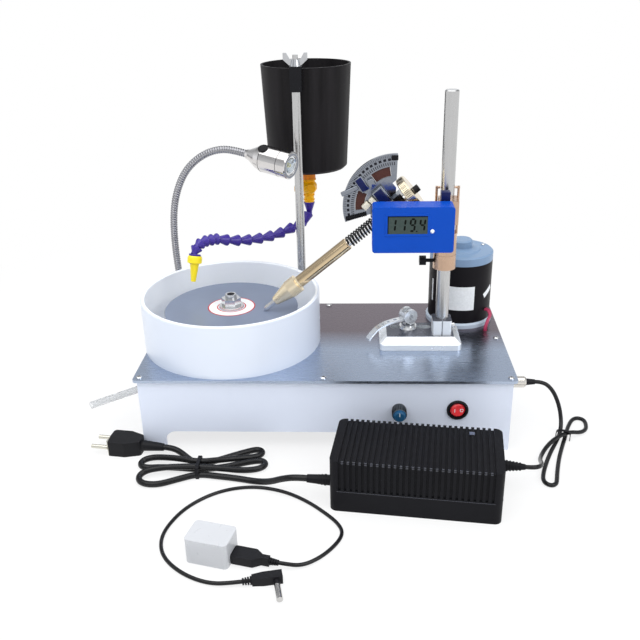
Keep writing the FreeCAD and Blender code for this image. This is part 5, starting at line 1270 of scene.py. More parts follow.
def on_spots(name: str, link: bpy.types.Mesh, spots: Sequence[Point], finish: Finish) -> bpy.types.Mesh:
    """Repeats a mesh at chosen places.

    Args:
        name: the tree's name.
        link: the mesh to repeat.
        spots: the places in millimetres.
        finish: the copies' finish.

    Returns:
        A plain mesh of all copies.
    """
    places = bpy.data.meshes.new(name + "_spots")
    places.from_pydata([tuple(metres(spot)) for spot in spots], [], [])
    tree = RepeatTree(name, {}, finish)
    tree.repeat(link, tree.size("Geometry"))
    return tree.grow(carrier_mesh(name + "_holder", places))


def seen_rays(graph: NodeGraph) -> bpy.types.NodeSocket:
    """Returns 1 for rays that see the background, also in metal and glass."""
    path = graph.add("ShaderNodeLightPath")
    first = graph.math("MAXIMUM", path.outputs["Is Camera Ray"], path.outputs["Is Glossy Ray"])
    return graph.math("MAXIMUM", first, path.outputs["Is Transmission Ray"])


@dataclass(frozen=True)
class SoftLamp:
    """A square soft lamp: place in millimetres, size in metres, power in watts."""

    name: str
    place: Point
    size: float
    power: float

    def hang(self, target: Point) -> None:
        """Hangs the lamp.

        Args:
            target: the point that it looks at, in millimetres.
        """
        data = bpy.data.lights.new(self.name, "AREA")
        data.shape = "SQUARE"
        data.size = self.size
        data.energy = self.power
        lamp = bpy.data.objects.new(self.name, data)
        lamp.location = metres(self.place)
        aim = metres(target) - lamp.location
        lamp.rotation_euler = aim.to_track_quat("-Z", "Y").to_euler()
        bpy.context.scene.collection.objects.link(lamp)


@dataclass
class Floor:
    """A pale floor that looks white to the camera and still takes shadows; sizes in metres."""

    side: float = 40.0
    grey: Colour = (0.86, 0.86, 0.86)
    pale: Colour = (0.88, 0.88, 0.88)
    roughness: float = 0.9
    glow_near: float = 0.74
    glow_far: float = 1.0
    fade_from: float = 0.2
    fade_to: float = 0.75

    def build(self) -> None:
        """Lays the floor."""
        half = self.side / 2
        mesh = bpy.data.meshes.new("floor")
        corners = [(-half, -half, 0), (half, -half, 0), (half, half, 0), (-half, half, 0)]
        mesh.from_pydata(corners, [], [(0, 1, 2, 3)])
        mesh.materials.append(self.material())
        floor = bpy.data.objects.new("floor", mesh)
        bpy.context.scene.collection.objects.link(floor)

    def material(self) -> bpy.types.Material:
        """Returns the floor's material, which glows more to seen rays away from the machine."""
        graph = SurfaceGraph("pale_floor")
        graph.surface("Base Color", graph.shade(graph.noise(scale=3.0, detail=2.0), self.grey, self.pale))
        graph.surface("Roughness", self.roughness)
        glow = graph.add("ShaderNodeEmission", {"Color": (1.0, 1.0, 1.0, 1.0), "Strength": 1.0})
        away = graph.vector("LENGTH", graph.place).outputs["Value"]
        share = graph.between(away, self.glow_near, self.glow_far, self.fade_from, self.fade_to)
        mix = graph.add("ShaderNodeMixShader", {
            "Fac": graph.math("MULTIPLY", seen_rays(graph), share), 1: graph.shader.outputs[0],
            2: glow.outputs[0]})
        graph.tree.links.new(mix.outputs[0], graph.output.inputs[0])
        return graph.material


@dataclass
class Room:
    """The world round the machine: white to the camera, with brighter and darker sides in metal."""

    seen: Colour = (0.95, 0.97, 1.0)
    soft: Colour = (0.94, 0.97, 1.0)
    soft_strength: float = 0.72
    fade_from: float = 0.2
    fade_to: float = 0.8
    overhead: float = 0.36
    sides: float = 4.0
    side_turn: float = 1.75
    side_swing: float = 0.26
    side_level: float = 0.82

    def build(self) -> None:
        """Makes the world and sets it."""
        world = bpy.data.worlds.new("studio")
        world.use_nodes = True
        graph = NodeGraph(world.node_tree)
        graph.tree.nodes.clear()
        place = graph.add("ShaderNodeTexCoord").outputs["Generated"]
        parts = graph.add("ShaderNodeSeparateXYZ", {0: place})
        ramp = graph.add("ShaderNodeMapRange", {
            "Value": parts.outputs["Z"], "From Min": self.fade_from, "From Max": self.fade_to,
            "To Min": 1.0, "To Max": self.overhead})
        level = graph.math("MULTIPLY", ramp.outputs[0], self.side_light(graph, parts))
        seen = graph.add("ShaderNodeBackground", {"Color": (*self.seen, 1.0), "Strength": level})
        soft = graph.add("ShaderNodeBackground", {
            "Color": (*self.soft, 1.0), "Strength": self.soft_strength})
        mix = graph.add("ShaderNodeMixShader", {
            "Fac": seen_rays(graph), 1: soft.outputs[0], 2: seen.outputs[0]})
        output = graph.add("ShaderNodeOutputWorld")
        graph.tree.links.new(mix.outputs[0], output.inputs[0])
        bpy.context.scene.world = world

    def side_light(self, graph: NodeGraph, parts: bpy.types.Node) -> bpy.types.NodeSocket:
        """Makes each side of the room brighter or darker in metal.

        Args:
            graph: the world's graph.
            parts: the node that parts the direction looked in.

        Returns:
            The brightness, which is at least 1 where the camera looks straight out.
        """
        heading = graph.math("ARCTAN2", parts.outputs["Y"], parts.outputs["X"])
        wave = graph.math("SINE", graph.math("MULTIPLY_ADD", heading, self.sides, self.side_turn))
        side = graph.math("MULTIPLY_ADD", wave, self.side_swing, self.side_level)
        straight = graph.add("ShaderNodeLightPath").outputs["Is Camera Ray"]
        return graph.math("MAXIMUM", side, straight)


@dataclass
class Studio:
    """Camera, floor, room and lamps; angles are in degrees."""

    eye: Point = (34.34, -816.36, 474.72)
    pitch: float = 24.159
    yaw: float = -2.894
    roll: float = -1.269
    lens: float = 44.27
    sensor: float = 36.0
    sight: float = 100.0
    lamp_target: Point = (0.0, 0.0, 130.0)
    lamps: tuple[SoftLamp, ...] = (
        SoftLamp("window", (-700.0, -900.0, 1300.0), 0.9, 4.0),
        SoftLamp("fill", (900.0, -700.0, 900.0), 0.8, 5.5),
        SoftLamp("ceiling", (-120.0, -100.0, 1500.0), 1.9, 18.5),
    )

    def build(self) -> None:
        """Sets up camera, floor, room and lamps."""
        self.aim_camera()
        Floor().build()
        Room().build()
        for lamp in self.lamps:
            lamp.hang(self.lamp_target)
        bpy.context.scene.view_settings.view_transform = "Standard"

    def aim_camera(self) -> None:
        """Puts the camera where the photograph was taken from."""
        pitch, yaw, roll = (math.radians(angle) for angle in (self.pitch, self.yaw, self.roll))
        ahead = Vector((math.sin(yaw) * math.cos(pitch), math.cos(yaw) * math.cos(pitch), -math.sin(pitch)))
        right = Vector((math.cos(yaw), -math.sin(yaw), 0.0))
        above = right.cross(ahead)
        across = right * math.cos(roll) + above * math.sin(roll)
        upward = above * math.cos(roll) - right * math.sin(roll)
        data = bpy.data.cameras.new("photo_camera")
        data.sensor_width = self.sensor
        data.lens = self.lens
        data.clip_end = self.sight
        camera = bpy.data.objects.new("photo_camera", data)
        matrix = Matrix((across, upward, -ahead)).transposed().to_4x4()
        matrix.translation = metres(self.eye)
        camera.matrix_world = matrix
        bpy.context.scene.collection.objects.link(camera)
        bpy.context.scene.camera = camera


@dataclass(frozen=True)
class Lead:
    """A free lead on the bench, along the route of its CAD tube."""

    name: str
    node: str
    route: tuple[Point, ...]
    radius: float
    length: float
    far_end: FarEnd
    carries: tuple[str, ...]
    lay: Lay = Lay.LOOSE

    def build(self, nodes: dict[str, bpy.types.Object], trim: Sequence[bpy.types.Object] = ()) -> None:
        """Args:
            nodes: the CAD nodes; not used.
            trim: further pieces that lie with the lead; not used.
        """
        piece = route_curve(self.name, self.route, self.radius)
        piece.data.materials.append(Finishes.CORD.material())
        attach(piece, Body.BASE.value)
        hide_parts(self.node)
        LOG.info("%s laid", self.name)


@dataclass
class Leads:
    """The three leads of the machine."""

    dc: Lead = Lead(
        "dc_lead", "dc_cord", (
            (231, -42.5, 52), (240.5, -42.5, 52), (251, -45.5, 43.5), (258, -52, 28), (260, -61, 12),
            (256.5, -72, 3), (248.5, -88, 2.25), (238.5, -107, 2.25), (228.5, -130, 2.25),
            (222.5, -147, 2.25), (220.8, -156, 2.25), (222.5, -162, 2.25), (227.5, -165, 2.25),
            (232.3, -161.8, 2.25), (234.5, -155, 2.25), (237.5, -143, 2.25), (245, -118, 2.25),
            (253, -97, 2.25), (261.5, -76, 2.25), (267, -61, 2.25), (273.5, -47, 2.25),
            (278.5, -39.5, 2.25), (284, -36.5, 2.25), (289.3, -38.8, 2.25), (291.3, -45.5, 2.25),
            (288.5, -60, 2.25), (280, -69, 3.2), (266, -75, 7.9), (254, -82.5, 8), (243, -93, 7.9),
            (234, -102.5, 4.5), (227.5, -114, 3.4), (223.5, -126, 6.5), (221.5, -138, 11.5),
            (219.5, -149.5, 17), (215, -159.5, 21), (208, -163.8, 22.6), (200.12, -162.84, 22.6),
        ), radius=2.25, length=489.0, far_end=FarEnd.FITTING, carries=("adapter_case", "adapter_boots"))
    mains: Lead = Lead(
        "mains_lead", "mains_cord", (
            (-13.52, -184.22, 22.6), (-25.1, -182.82, 22.6), (-38, -178.6, 18), (-52, -171, 8.5),
            (-67, -163.5, 3.3), (-86, -158.5, 3.25), (-106, -155, 3.25), (-128, -151.3, 3.25),
            (-148, -161, 3.25), (-164, -169.5, 3.25), (-178, -169.5, 3.25), (-186.5, -163.5, 3.25),
            (-187.5, -155, 4.4), (-180.5, -149.5, 6.2), (-168, -148, 8), (-154, -147.8, 9.5),
            (-128, -147.5, 10), (-104, -148.5, 8.4), (-84, -147, 5), (-70, -142.8, 3.25),
            (-62.5, -138.5, 3.25), (-60, -132.5, 3.25), (-63.5, -127.2, 3.25), (-70.5, -127, 3.25),
            (-82, -130.5, 3.25), (-104, -139.5, 3.25), (-128, -143.6, 3.25), (-150, -140.5, 3.25),
            (-169, -139.5, 3.25), (-182, -141, 3.25), (-189, -139, 3.25), (-192, -133.5, 3.4),
            (-189, -128, 4.4), (-182, -126, 5.6), (-172, -127, 7), (-152, -132, 9.2),
            (-128, -139.8, 10), (-104, -132.5, 8.4), (-86, -124.5, 5), (-75.5, -120.5, 3.25),
            (-68.5, -117.5, 3.25), (-65.5, -112.5, 3.25), (-67.5, -107.5, 3.25), (-73, -106, 3.25),
            (-80, -108.8, 3.25), (-92, -115, 3.25), (-110, -125.5, 3.25), (-128, -135.9, 3.25),
            (-141, -126.5, 3.6), (-152, -116.5, 6), (-162, -111.6, 8.4), (-172, -110.2, 8.4),
        ), radius=3.25, length=730.0, far_end=FarEnd.PLUG, carries=("mains_plug",), lay=Lay.COILED)
    lamp: Lead = Lead(
        "usb_lead", "lamp_lead", (
            (-41, -282.5, 6), (-29, -285.5, 6), (-13, -284, 2.6), (3, -272, 1.8), (16, -255, 1.8),
            (22, -240, 1.8), (18, -227, 1.8), (7, -213, 1.8), (-14, -192, 1.8), (-40, -175.6, 1.8),
            (-72, -169.1, 1.8), (-104, -178.5, 1.8), (-130, -203, 1.8), (-143, -234, 1.8),
            (-143.5, -257, 1.8), (-134.5, -277.5, 1.8), (-114, -296, 1.8), (-90, -306.5, 1.8),
            (-68, -307, 4), (-54, -304, 4),
        ), radius=1.8, length=443.0, far_end=FarEnd.CONNECTOR, carries=("lamp_lead_plugs", "usb_charger"))
    usb_ribs: BootRibs = BootRibs(
        count=4, inner=1.6, widest=3.3, taper=0.25, first=0.8, pitch=2.2, half=0.75, sides=24)
    barrel_ribs: BootRibs = BootRibs(
        count=4, inner=1.6, widest=3.7, taper=0.25, first=0.8, pitch=2.2, half=0.75, sides=24)

    def build(self, nodes: dict[str, bpy.types.Object]) -> None:
        """Lays the leads."""
        self.dc.build(nodes)
        self.mains.build(nodes)
        self.lamp.build(nodes, [self.plug_ribs()])

    def plug_ribs(self) -> bpy.types.Object:
        """Makes the ribs where the lamp's lead leaves its two plugs."""
        first, second, *_, before, last = self.lamp.route
        rings = []
        for end, inward, ribs in ((first, second, self.usb_ribs), (last, before, self.barrel_ribs)):
            along = (Vector(inward) - Vector(end)).normalized()
            rings += ribs.rings(end, along, Matrix.Identity(4))
        return show("plug_ribs", joined(rings), Finishes.BLACK, Body.BASE)


def on_quill(along: float) -> Point:
    """Returns the place at a distance along the quill from its hub, towards the stone."""
    return tuple(start + along * step for start, step in zip(HUB, QUILL))


def facing_front(origin: Sequence[float], turn: float = 0.0) -> Matrix:
    """Returns a frame whose Z comes out of the front, with X turned up by an angle in degrees."""
    stand = Matrix(((1.0, 0.0, 0.0), (0.0, 0.0, -1.0), (0.0, 1.0, 0.0))).to_4x4()
    return Matrix.Translation(metres(origin)) @ stand @ Matrix.Rotation(math.radians(turn), 4, "Z")


@dataclass
class Deck:
    """Trim of the deck: painted shade for the drive slots of its screws."""

    half_width: float = 193.5
    half_depth: float = 96.0
    level: float = 86.8
    slot_length: float = 3.4
    slot_width: float = 0.75
    slot_thick: float = 0.12
    slot_edge: float = 0.03

    def dress(self) -> None:
        """Lays a dark cross on each screw head as painted shade for its slots."""
        flat = Matrix.Identity(4)
        bars = [
            block((self.slot_length, self.slot_width, self.slot_thick), flat, self.slot_edge),
            block((self.slot_width, self.slot_length, self.slot_thick), flat, self.slot_edge),
        ]
        spots = [(x, y, self.level) for y in (-self.half_depth, self.half_depth)
                 for x in (-self.half_width, 0.0, self.half_width)]
        spots.append((self.half_width, 0.0, self.level))
        # Painted shade: the dark crosses stand in for the shade in the screw slots.
        show("screw_slots", on_spots("screw_slots", joined(bars), spots, Finishes.TICK_AND_SHADE), None, Body.BASE)


@dataclass
class Lap:
    """The label ring on the lap, and the well in the stud above it, dark with painted shade."""

    level: float = 125.02
    inner: float = 14.2
    outer: float = 25.5
    line: float = 1.3
    line_inset: float = 1.0
    stud_top: float = 140.0
    well: float = 4.3
    stud: float = 6.1

    def dress(self) -> None:
        """Lays the white ring and its two red lines round the nut, paints shade into the well in the stud,
        and rims the well.
        """
        seat = moved(LAP_AXIS[0], LAP_AXIS[1], self.level)
        show("lap_label", ring_plate(self.inner, self.outer, 0.12, seat), Finishes.LABEL, Body.LAP)
        near = self.inner + self.line_inset
        lines = joined([
            ring_plate(self.outer, self.outer + self.line, 0.13, seat),
            ring_plate(near, near + self.line, 0.16, seat),
        ])
        show("lap_label_lines", lines, Finishes.LABEL_RED, Body.LAP)
        top = moved(LAP_AXIS[0], LAP_AXIS[1], self.stud_top)
        # Painted shade: a dark disc stands in for the shade down in the well.
        well = turned([(0.0, 0.02), (self.well, 0.02), (self.well, 0.1), (0.0, 0.1)], top, 36)
        show("stud_well", well, Finishes.TICK_AND_SHADE, Body.LAP)
        show("stud_rim", ring_plate(self.well, self.stud, 0.5, top, 48), Finishes.SCREW, Body.LAP)


@dataclass
class Motor:
    """Labels and cap screws of the motor."""

    axis: tuple[float, float] = (157.6, 63.5)
    radius: float = 36.5
    cap_top: float = 171.0
    screw_circle: float = 29.5
    screw_heading: float = 25.0
    label: WallLabel = WallLabel(level=122.0, height=29.0, heading=-94.0, width=31.0)
    strips: tuple[WallLabel, ...] = (
        WallLabel(level=126.0, height=27.0, heading=-156.0, width=2.4),
        WallLabel(level=126.0, height=6.0, heading=-36.0, width=17.0, lean=28.0),
    )

    def dress(self) -> None:
        """Sticks on the blank labels and sets the two cap screws."""
        show("motor_label", self.label.mesh(self.axis, self.radius), Finishes.LABEL, Body.BASE)
        strips = joined([strip.mesh(self.axis, self.radius) for strip in self.strips])
        show("motor_strips", strips, Finishes.LABEL, Body.BASE)
        head = turned([(0.0, 0.0), (2.4, 0.0), (2.4, 0.9), (1.6, 1.5), (0.0, 1.5)], Matrix.Identity(4), 20)
        screws = round_axis("motor_cap_screws", head, self.screw_circle, 2, moved(*self.axis, self.cap_top),
                            Finishes.SCREW, self.screw_heading)
        show("motor_cap_screws", screws, None, Body.BASE)


@dataclass
class Controls:
    """Marks on the switch, and the grip and pointer of the knob."""

    knob: Point = (79.0, -98.6, 49.0)
    knob_radius: float = 7.3
    ridge_count: int = 26
    ridge: Point = (0.9, 0.8, 10.0)
    ridge_middle: float = 6.4
    pointer: Point = (0.9, 3.8, 0.3)
    pointer_place: Point = (0.0, 2.7, 16.05)
    switch: Point = (140.0, -95.37, 49.0)
    lean: float = 6.0
    mark_spread: float = 3.6

    def dress(self) -> None:
        """Adds the ridges, the pointer and the two marks."""
        axis = facing_front(self.knob)
        ridge = block(self.ridge, moved(0.0, 0.0, self.ridge_middle), 0.2)
        grip = round_axis("knob_ridges", ridge, self.knob_radius, self.ridge_count, axis, Finishes.BLACK)
        show("knob_ridges", grip, None, Body.KNOB)
        pointer = block(self.pointer, axis @ moved(*self.pointer_place), 0.1)
        show("knob_pointer", pointer, Finishes.LABEL, Body.KNOB)
        face = moved(*self.switch) @ Matrix.Rotation(math.radians(self.lean), 4, "Z")
        face = face @ facing_front((0.0, 0.0, 0.0))
        marks = joined([
            block((0.7, 4.0, 0.3), face @ moved(-self.mark_spread, 0.0, 4.8), 0.08),
            ring_plate(1.3, 1.9, 0.3, face @ moved(self.mark_spread, 0.0, 4.65), 32),
        ])
        show("switch_marks", marks, Finishes.LABEL, Body.ROCKER)


class Segment(Enum):
    """The digit bars that the reading uses: middle in half digits, and whether the bar stands."""

    TOP = (0.0, 1.0, False)
    MIDDLE = (0.0, 0.0, False)
    BOTTOM = (0.0, -1.0, False)
    UPPER_LEFT = (-1.0, 0.5, True)
    UPPER_RIGHT = (1.0, 0.5, True)
    LOWER_RIGHT = (1.0, -0.5, True)


DIGITS: dict[str, tuple[Segment, ...]] = {
    "1": (Segment.UPPER_RIGHT, Segment.LOWER_RIGHT),
    "4": (Segment.UPPER_LEFT, Segment.UPPER_RIGHT, Segment.MIDDLE, Segment.LOWER_RIGHT),
    "9": (Segment.TOP, Segment.UPPER_LEFT, Segment.UPPER_RIGHT, Segment.MIDDLE, Segment.LOWER_RIGHT,
          Segment.BOTTOM),
}


@dataclass
class Display:
    """The reading, the window frame and the clip of the angle display."""

    middle: Point = (85.7, -57.9, 237.67)
    window: tuple[float, float] = (40.0, 18.6)
    rim: float = 2.6
    rim_level: float = -58.05
    shade_width: float = 1.0
    shade_level: float = -57.92
    digit_width: float = 6.3
    digit_height: float = 14.2
    bar: float = 1.9
    bar_thick: float = 0.05
    stand_gap: float = 0.7
    level_gap: float = 0.5
    dot: float = 1.8
    dot_rise: float = 0.6
    pitch: float = 9.75
    first: float = -1.487
    slant: float = 0.1
    reading: str = "119.4"
    clip: Point = (125.2, -29.5, 259.8)
    clip_size: Point = (9.6, 10.0, 9.4)

    def dress(self) -> None:
        """Draws the reading in bars, frames the window and adds the clip."""
        show("display_reading", joined(self.drawn()), Finishes.INK, Body.CARRIAGE)
        self.frame_window()
        show("case_clip", block(self.clip_size, moved(*self.clip), 0.5), Finishes.NAVY, Body.CARRIAGE)

    def drawn(self) -> list[bpy.types.Mesh]:
        """Returns the bars of the whole reading."""
        frame = facing_front(self.middle)
        bars: list[bpy.types.Mesh] = []
        place = self.first * self.pitch
        for sign in self.reading:
            if sign == ".":
                low = -self.digit_height / 2
                spot = place - self.pitch * 0.5 + self.slant * low
                bars.append(self.bar_plate(frame, spot, low + self.dot_rise, self.dot, self.dot))
            else:
                bars += self.digit(frame, sign, place)
                place += self.pitch
        return bars

    def frame_window(self) -> None:
        """Lays the frame round the window, and a painted shadow where it shades the glass."""
        x, _, z = self.middle
        wide, tall = self.window
        sides = []
        for sign in (-1.0, 1.0):
            up = facing_front((x, self.rim_level, z + sign * (tall + self.rim) / 2))
            side = facing_front((x + sign * (wide + self.rim) / 2, self.rim_level, z))
            sides.append(block((wide + 2 * self.rim, self.rim, 0.7), up, 0.3))
            sides.append(block((self.rim, tall + 0.4, 0.6), side, 0.3))
        show("display_frame", joined(sides), Finishes.BLUE, Body.CARRIAGE)
        # Painted shadow: dark strips along the top and the left of the glass, where the frame shades it.
        strip = self.shade_width
        over = facing_front((x, self.shade_level, z + (tall - strip) / 2))
        beside = facing_front((x - (wide - strip) / 2, self.shade_level, z))
        shades = [block((wide, strip, 0.1), over, 0.02), block((strip, tall - strip, 0.1), beside, 0.02)]
        show("display_window_edge", joined(shades), Finishes.INK, Body.CARRIAGE)

    def digit(self, frame: Matrix, sign: str, place: float) -> list[bpy.types.Mesh]:
        """Draws one digit.

        Args:
            frame: the middle of the window.
            sign: the digit.
            place: its middle across the window, in millimetres.

        Returns:
            Its bars.
        """
        half_width = self.digit_width / 2 - self.bar / 2
        half_height = self.digit_height / 2 - self.bar / 2
        found = []
        for segment in DIGITS[sign]:
            across, up, stands = segment.value
            x = place + across * half_width + self.slant * up * half_height
            y = up * half_height
            length = half_height - self.stand_gap if stands else 2 * half_width - self.level_gap
            size = (self.bar, length) if stands else (length, self.bar)
            found.append(self.bar_plate(frame, x, y, *size))
        return found

    def bar_plate(self, frame: Matrix, x: float, y: float, width: float, height: float) -> bpy.types.Mesh:
        """Makes one bar with pointed ends.

        Args:
            frame: the middle of the window.
            x: the bar's middle across the window, in millimetres.
            y: the bar's middle up the window.
            width: its size across.
            height: its size upwards; a bar that is higher than wide is slanted.

        Returns:
            The bar as a thin plate.
        """
        along = max(width, height) / 2
        thick = min(width, height) / 2
        outline = [(-along, 0.0), (thick - along, -thick), (along - thick, -thick), (along, 0.0),
                   (along - thick, thick), (thick - along, thick)]
        if height >= width:
            outline = [(-v + self.slant * u, u) for u, v in outline]
        return plate([(x + u, y + v) for u, v in outline], self.bar_thick, frame)


@dataclass(frozen=True)
class TickRow:
    """One row of ticks on the sector: a tick's size and edge, its inset from the rim, and how many."""

    name: str
    size: Point
    edge: float
    inset: float
    count: int


@dataclass
class Head:
    """Scale, sliders, faces and spring of the swinging head."""

    sector_front: float = -13.0
    sector_radius: float = 55.0
    tick_start: float = 92.0
    tick_sweep: float = 104.0
    tick_lift: float = 0.03
    tick_rows: tuple[TickRow, ...] = (
        TickRow("sector_fine_ticks", (2.6, 0.35, 0.08), edge=0.02, inset=2.4, count=53),
        TickRow("sector_bold_ticks", (2.6, 3.0, 0.1), edge=0.03, inset=5.6, count=19),
        TickRow("sector_inner_ticks", (3.2, 0.8, 0.1), edge=0.03, inset=10.0, count=38),
    )
    window_starts: tuple[float, float] = (98.4, 156.4)
    window_sweep: float = 29.2
    window_steps: int = 14
    window_outer: float = 41.8
    window_inner: float = 32.2
    window_inset: float = 1.9
    window_thick: float = 0.8
    block_front: float = -20.85
    block_edge: float = 0.3
    screw_heading: float = 194.5
    screw_root: float = 31.0
    screw_lift: float = 1.9
    screw_turns: int = 12
    screw_pitch: float = 1.9
    wheel_place: float = -20.5
    wheel_radius: float = 20.0
    wheel_ticks: int = 64
    wheel_mark: Point = (0.12, 0.55, 5.6)
    spring_seat: float = 26.1
    spring_start: float = 1.5
    spring_turns: float = 10.0
    spring_radius: float = 6.0
    spring_rise: float = 35.5
    spring_wire: float = 0.85

    def dress(self) -> None:
        """Adds the engraved scales, the small blocks and the spring."""
        face = facing_front((HUB[0], self.sector_front, HUB[2]))
        for row in self.tick_rows:
            tick = block(row.size, moved(0.0, 0.0, self.tick_lift), row.edge)
            ticks = round_axis(row.name, tick, self.sector_radius - row.inset, row.count, face, Finishes.TICK_AND_SHADE,
                               self.tick_start, self.tick_sweep)
            show(row.name, ticks, None, Body.HEAD)
        self.dress_windows()
        self.dress_blocks()
        self.dress_wheel()
        self.wind_spring()

    def dress_windows(self) -> None:
        """Closes the two windows of the sector with red-brown plates."""
        plates = []
        frame = facing_front((HUB[0], self.sector_front + self.window_inset, HUB[2]))
        for start in self.window_starts:
            angles = [math.radians(start + self.window_sweep * step / self.window_steps)
                      for step in range(self.window_steps + 1)]
            outline = [(self.window_outer * math.cos(a), self.window_outer * math.sin(a)) for a in angles]
            angles.reverse()
            outline += [(self.window_inner * math.cos(a), self.window_inner * math.sin(a)) for a in angles]
            plates.append(plate(outline, self.window_thick, frame))
        show("sector_windows", joined(plates), Finishes.BROWN, Body.HEAD)

    def dress_blocks(self) -> None:
        """Seats the slider, yoke, clip, end block and the faces of the quill block."""
        navy = [
            self.on_sector((14.4, 7.0, 4.0), 40.1, 268.4, -55.5, 0.5),
            self.on_sector((20.0, 9.6, 8.2), 62.2, 254.6, -50.5, 0.6),
            self.on_block((22.0, 12.5, 0.8), 9.0),
        ]
        show("head_navy_faces", joined(navy), Finishes.NAVY, Body.HEAD)
        bright = [
            self.on_sector((16.4, 9.0, 3.2), 40.1, 268.4, -55.5, 0.5),
            self.on_sector((23.0, 12.6, 6.8), 62.2, 254.9, -50.5, 0.6),
            self.on_sector((8.5, 6.6, 5.4), 50.2, 270.4, -63.0, 0.6),
            self.on_sector((19.0, 4.6, 3.0), 27.6, 261.6, 24.0, 0.7),
            self.on_block((24.5, 2.2, 1.5), 8.6, 7.6),
        ]
        show("head_bright_blocks", joined(bright), Finishes.CHROME, Body.HEAD)
        pale = [
            self.on_sector((8.0, 6.6, 5.0), 44.8, 246.0, 47.5, 0.7),
            self.on_sector((5.6, 9.6, 6.4), 52.4, 250.6, 47.5, 0.7),
        ]
        show("head_pale_blocks", joined(pale), Finishes.IVORY, Body.HEAD)
        ends = [
            block((7.2, 5.0, 4.4), facing_front((74.0, self.sector_front + 1.2, 295.4)), 0.5),
            self.threaded_screw(),
        ]
        show("sector_end_pieces", joined(ends), Finishes.BLACK, Body.HEAD)
        show("block_brass_strip", self.on_block((5.0, 16.0, 0.9), 22.5), Finishes.BRASS, Body.HEAD)

    def on_sector(self, size: Point, x: float, z: float, turn: float, edge: float) -> bpy.types.Mesh:
        """Returns a block that stands on the sector's front, turned up by an angle in degrees."""
        return block(size, facing_front((x, self.sector_front - size[2] / 2, z), turn), edge)

    def on_block(self, size: Point, along: float, above: float = 0.0) -> bpy.types.Mesh:
        """Makes a plate on the front of the quill block.

        Args:
            size: its sides along the quill, across it and towards the front.
            along: its place along the quill from the hub.
            above: its place across the quill.

        Returns:
            The plate's mesh.
        """
        x, _, z = on_quill(along)
        place = (x + above * QUILL[2], self.block_front, z - above * QUILL[0])
        return block(size, facing_front(place, QUILL_ANGLE), self.block_edge)

    def threaded_screw(self) -> bpy.types.Mesh:
        """Returns the small screw that stands out of the sector's lower edge."""
        profile = [(0.0, 0.0)]
        for turn in range(self.screw_turns):
            base = self.screw_pitch * turn
            profile += [(1.5, base), (2.1, base + 0.5), (2.1, base + 1.2), (1.5, base + 1.7)]
        profile.append((0.0, profile[-1][1]))
        heading = math.radians(self.screw_heading)
        away = (math.cos(heading), 0.0, math.sin(heading))
        start = (HUB[0] + self.screw_root * away[0], self.sector_front - self.screw_lift,
                 HUB[2] + self.screw_root * away[2])
        return turned(profile, axis_frame(start, away), 24)

    def dress_wheel(self) -> None:
        """Cuts the index marks into the rim of the index wheel."""
        frame = axis_frame(on_quill(self.wheel_place), QUILL)
        mark = block(self.wheel_mark, Matrix.Identity(4), 0.03)
        marks = round_axis("index_marks", mark, self.wheel_radius, self.wheel_ticks, frame, Finishes.TICK_AND_SHADE)
        show("index_marks", marks, None, Body.CORE)

    def wind_spring(self) -> None:
        """Winds the quill's spring as one fixed mesh on the head."""
        sizes = {"Turns": self.spring_turns, "Radius": self.spring_radius * MM, "Rise": self.spring_rise * MM,
                 "Wire": self.spring_wire * MM}
        tree = RepeatTree("quill_coil", sizes, Finishes.SPRING)
        radius = tree.size("Radius")
        coil = tree.add("GeometryNodeCurveSpiral", {
            "Resolution": 28, "Rotations": tree.size("Turns"), "Start Radius": radius, "End Radius": radius,
            "Height": tree.size("Rise")})
        wire = tree.add("GeometryNodeCurvePrimitiveCircle", {"Resolution": 12, "Radius": tree.size("Wire")})
        tube = tree.add("GeometryNodeCurveToMesh", {
            "Curve": coil.outputs[0], "Profile Curve": wire.outputs[0], "Fill Caps": True})
        tree.close(tube.outputs[0])
        mesh = tree.grow(carrier_mesh("quill_coil"))
        mesh.transform(axis_frame(on_quill(self.spring_seat + self.spring_start), QUILL))
        spring = show("quill_coil", smooth(mesh), None, Body.HEAD)
        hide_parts("quill_spring")
        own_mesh(spring)


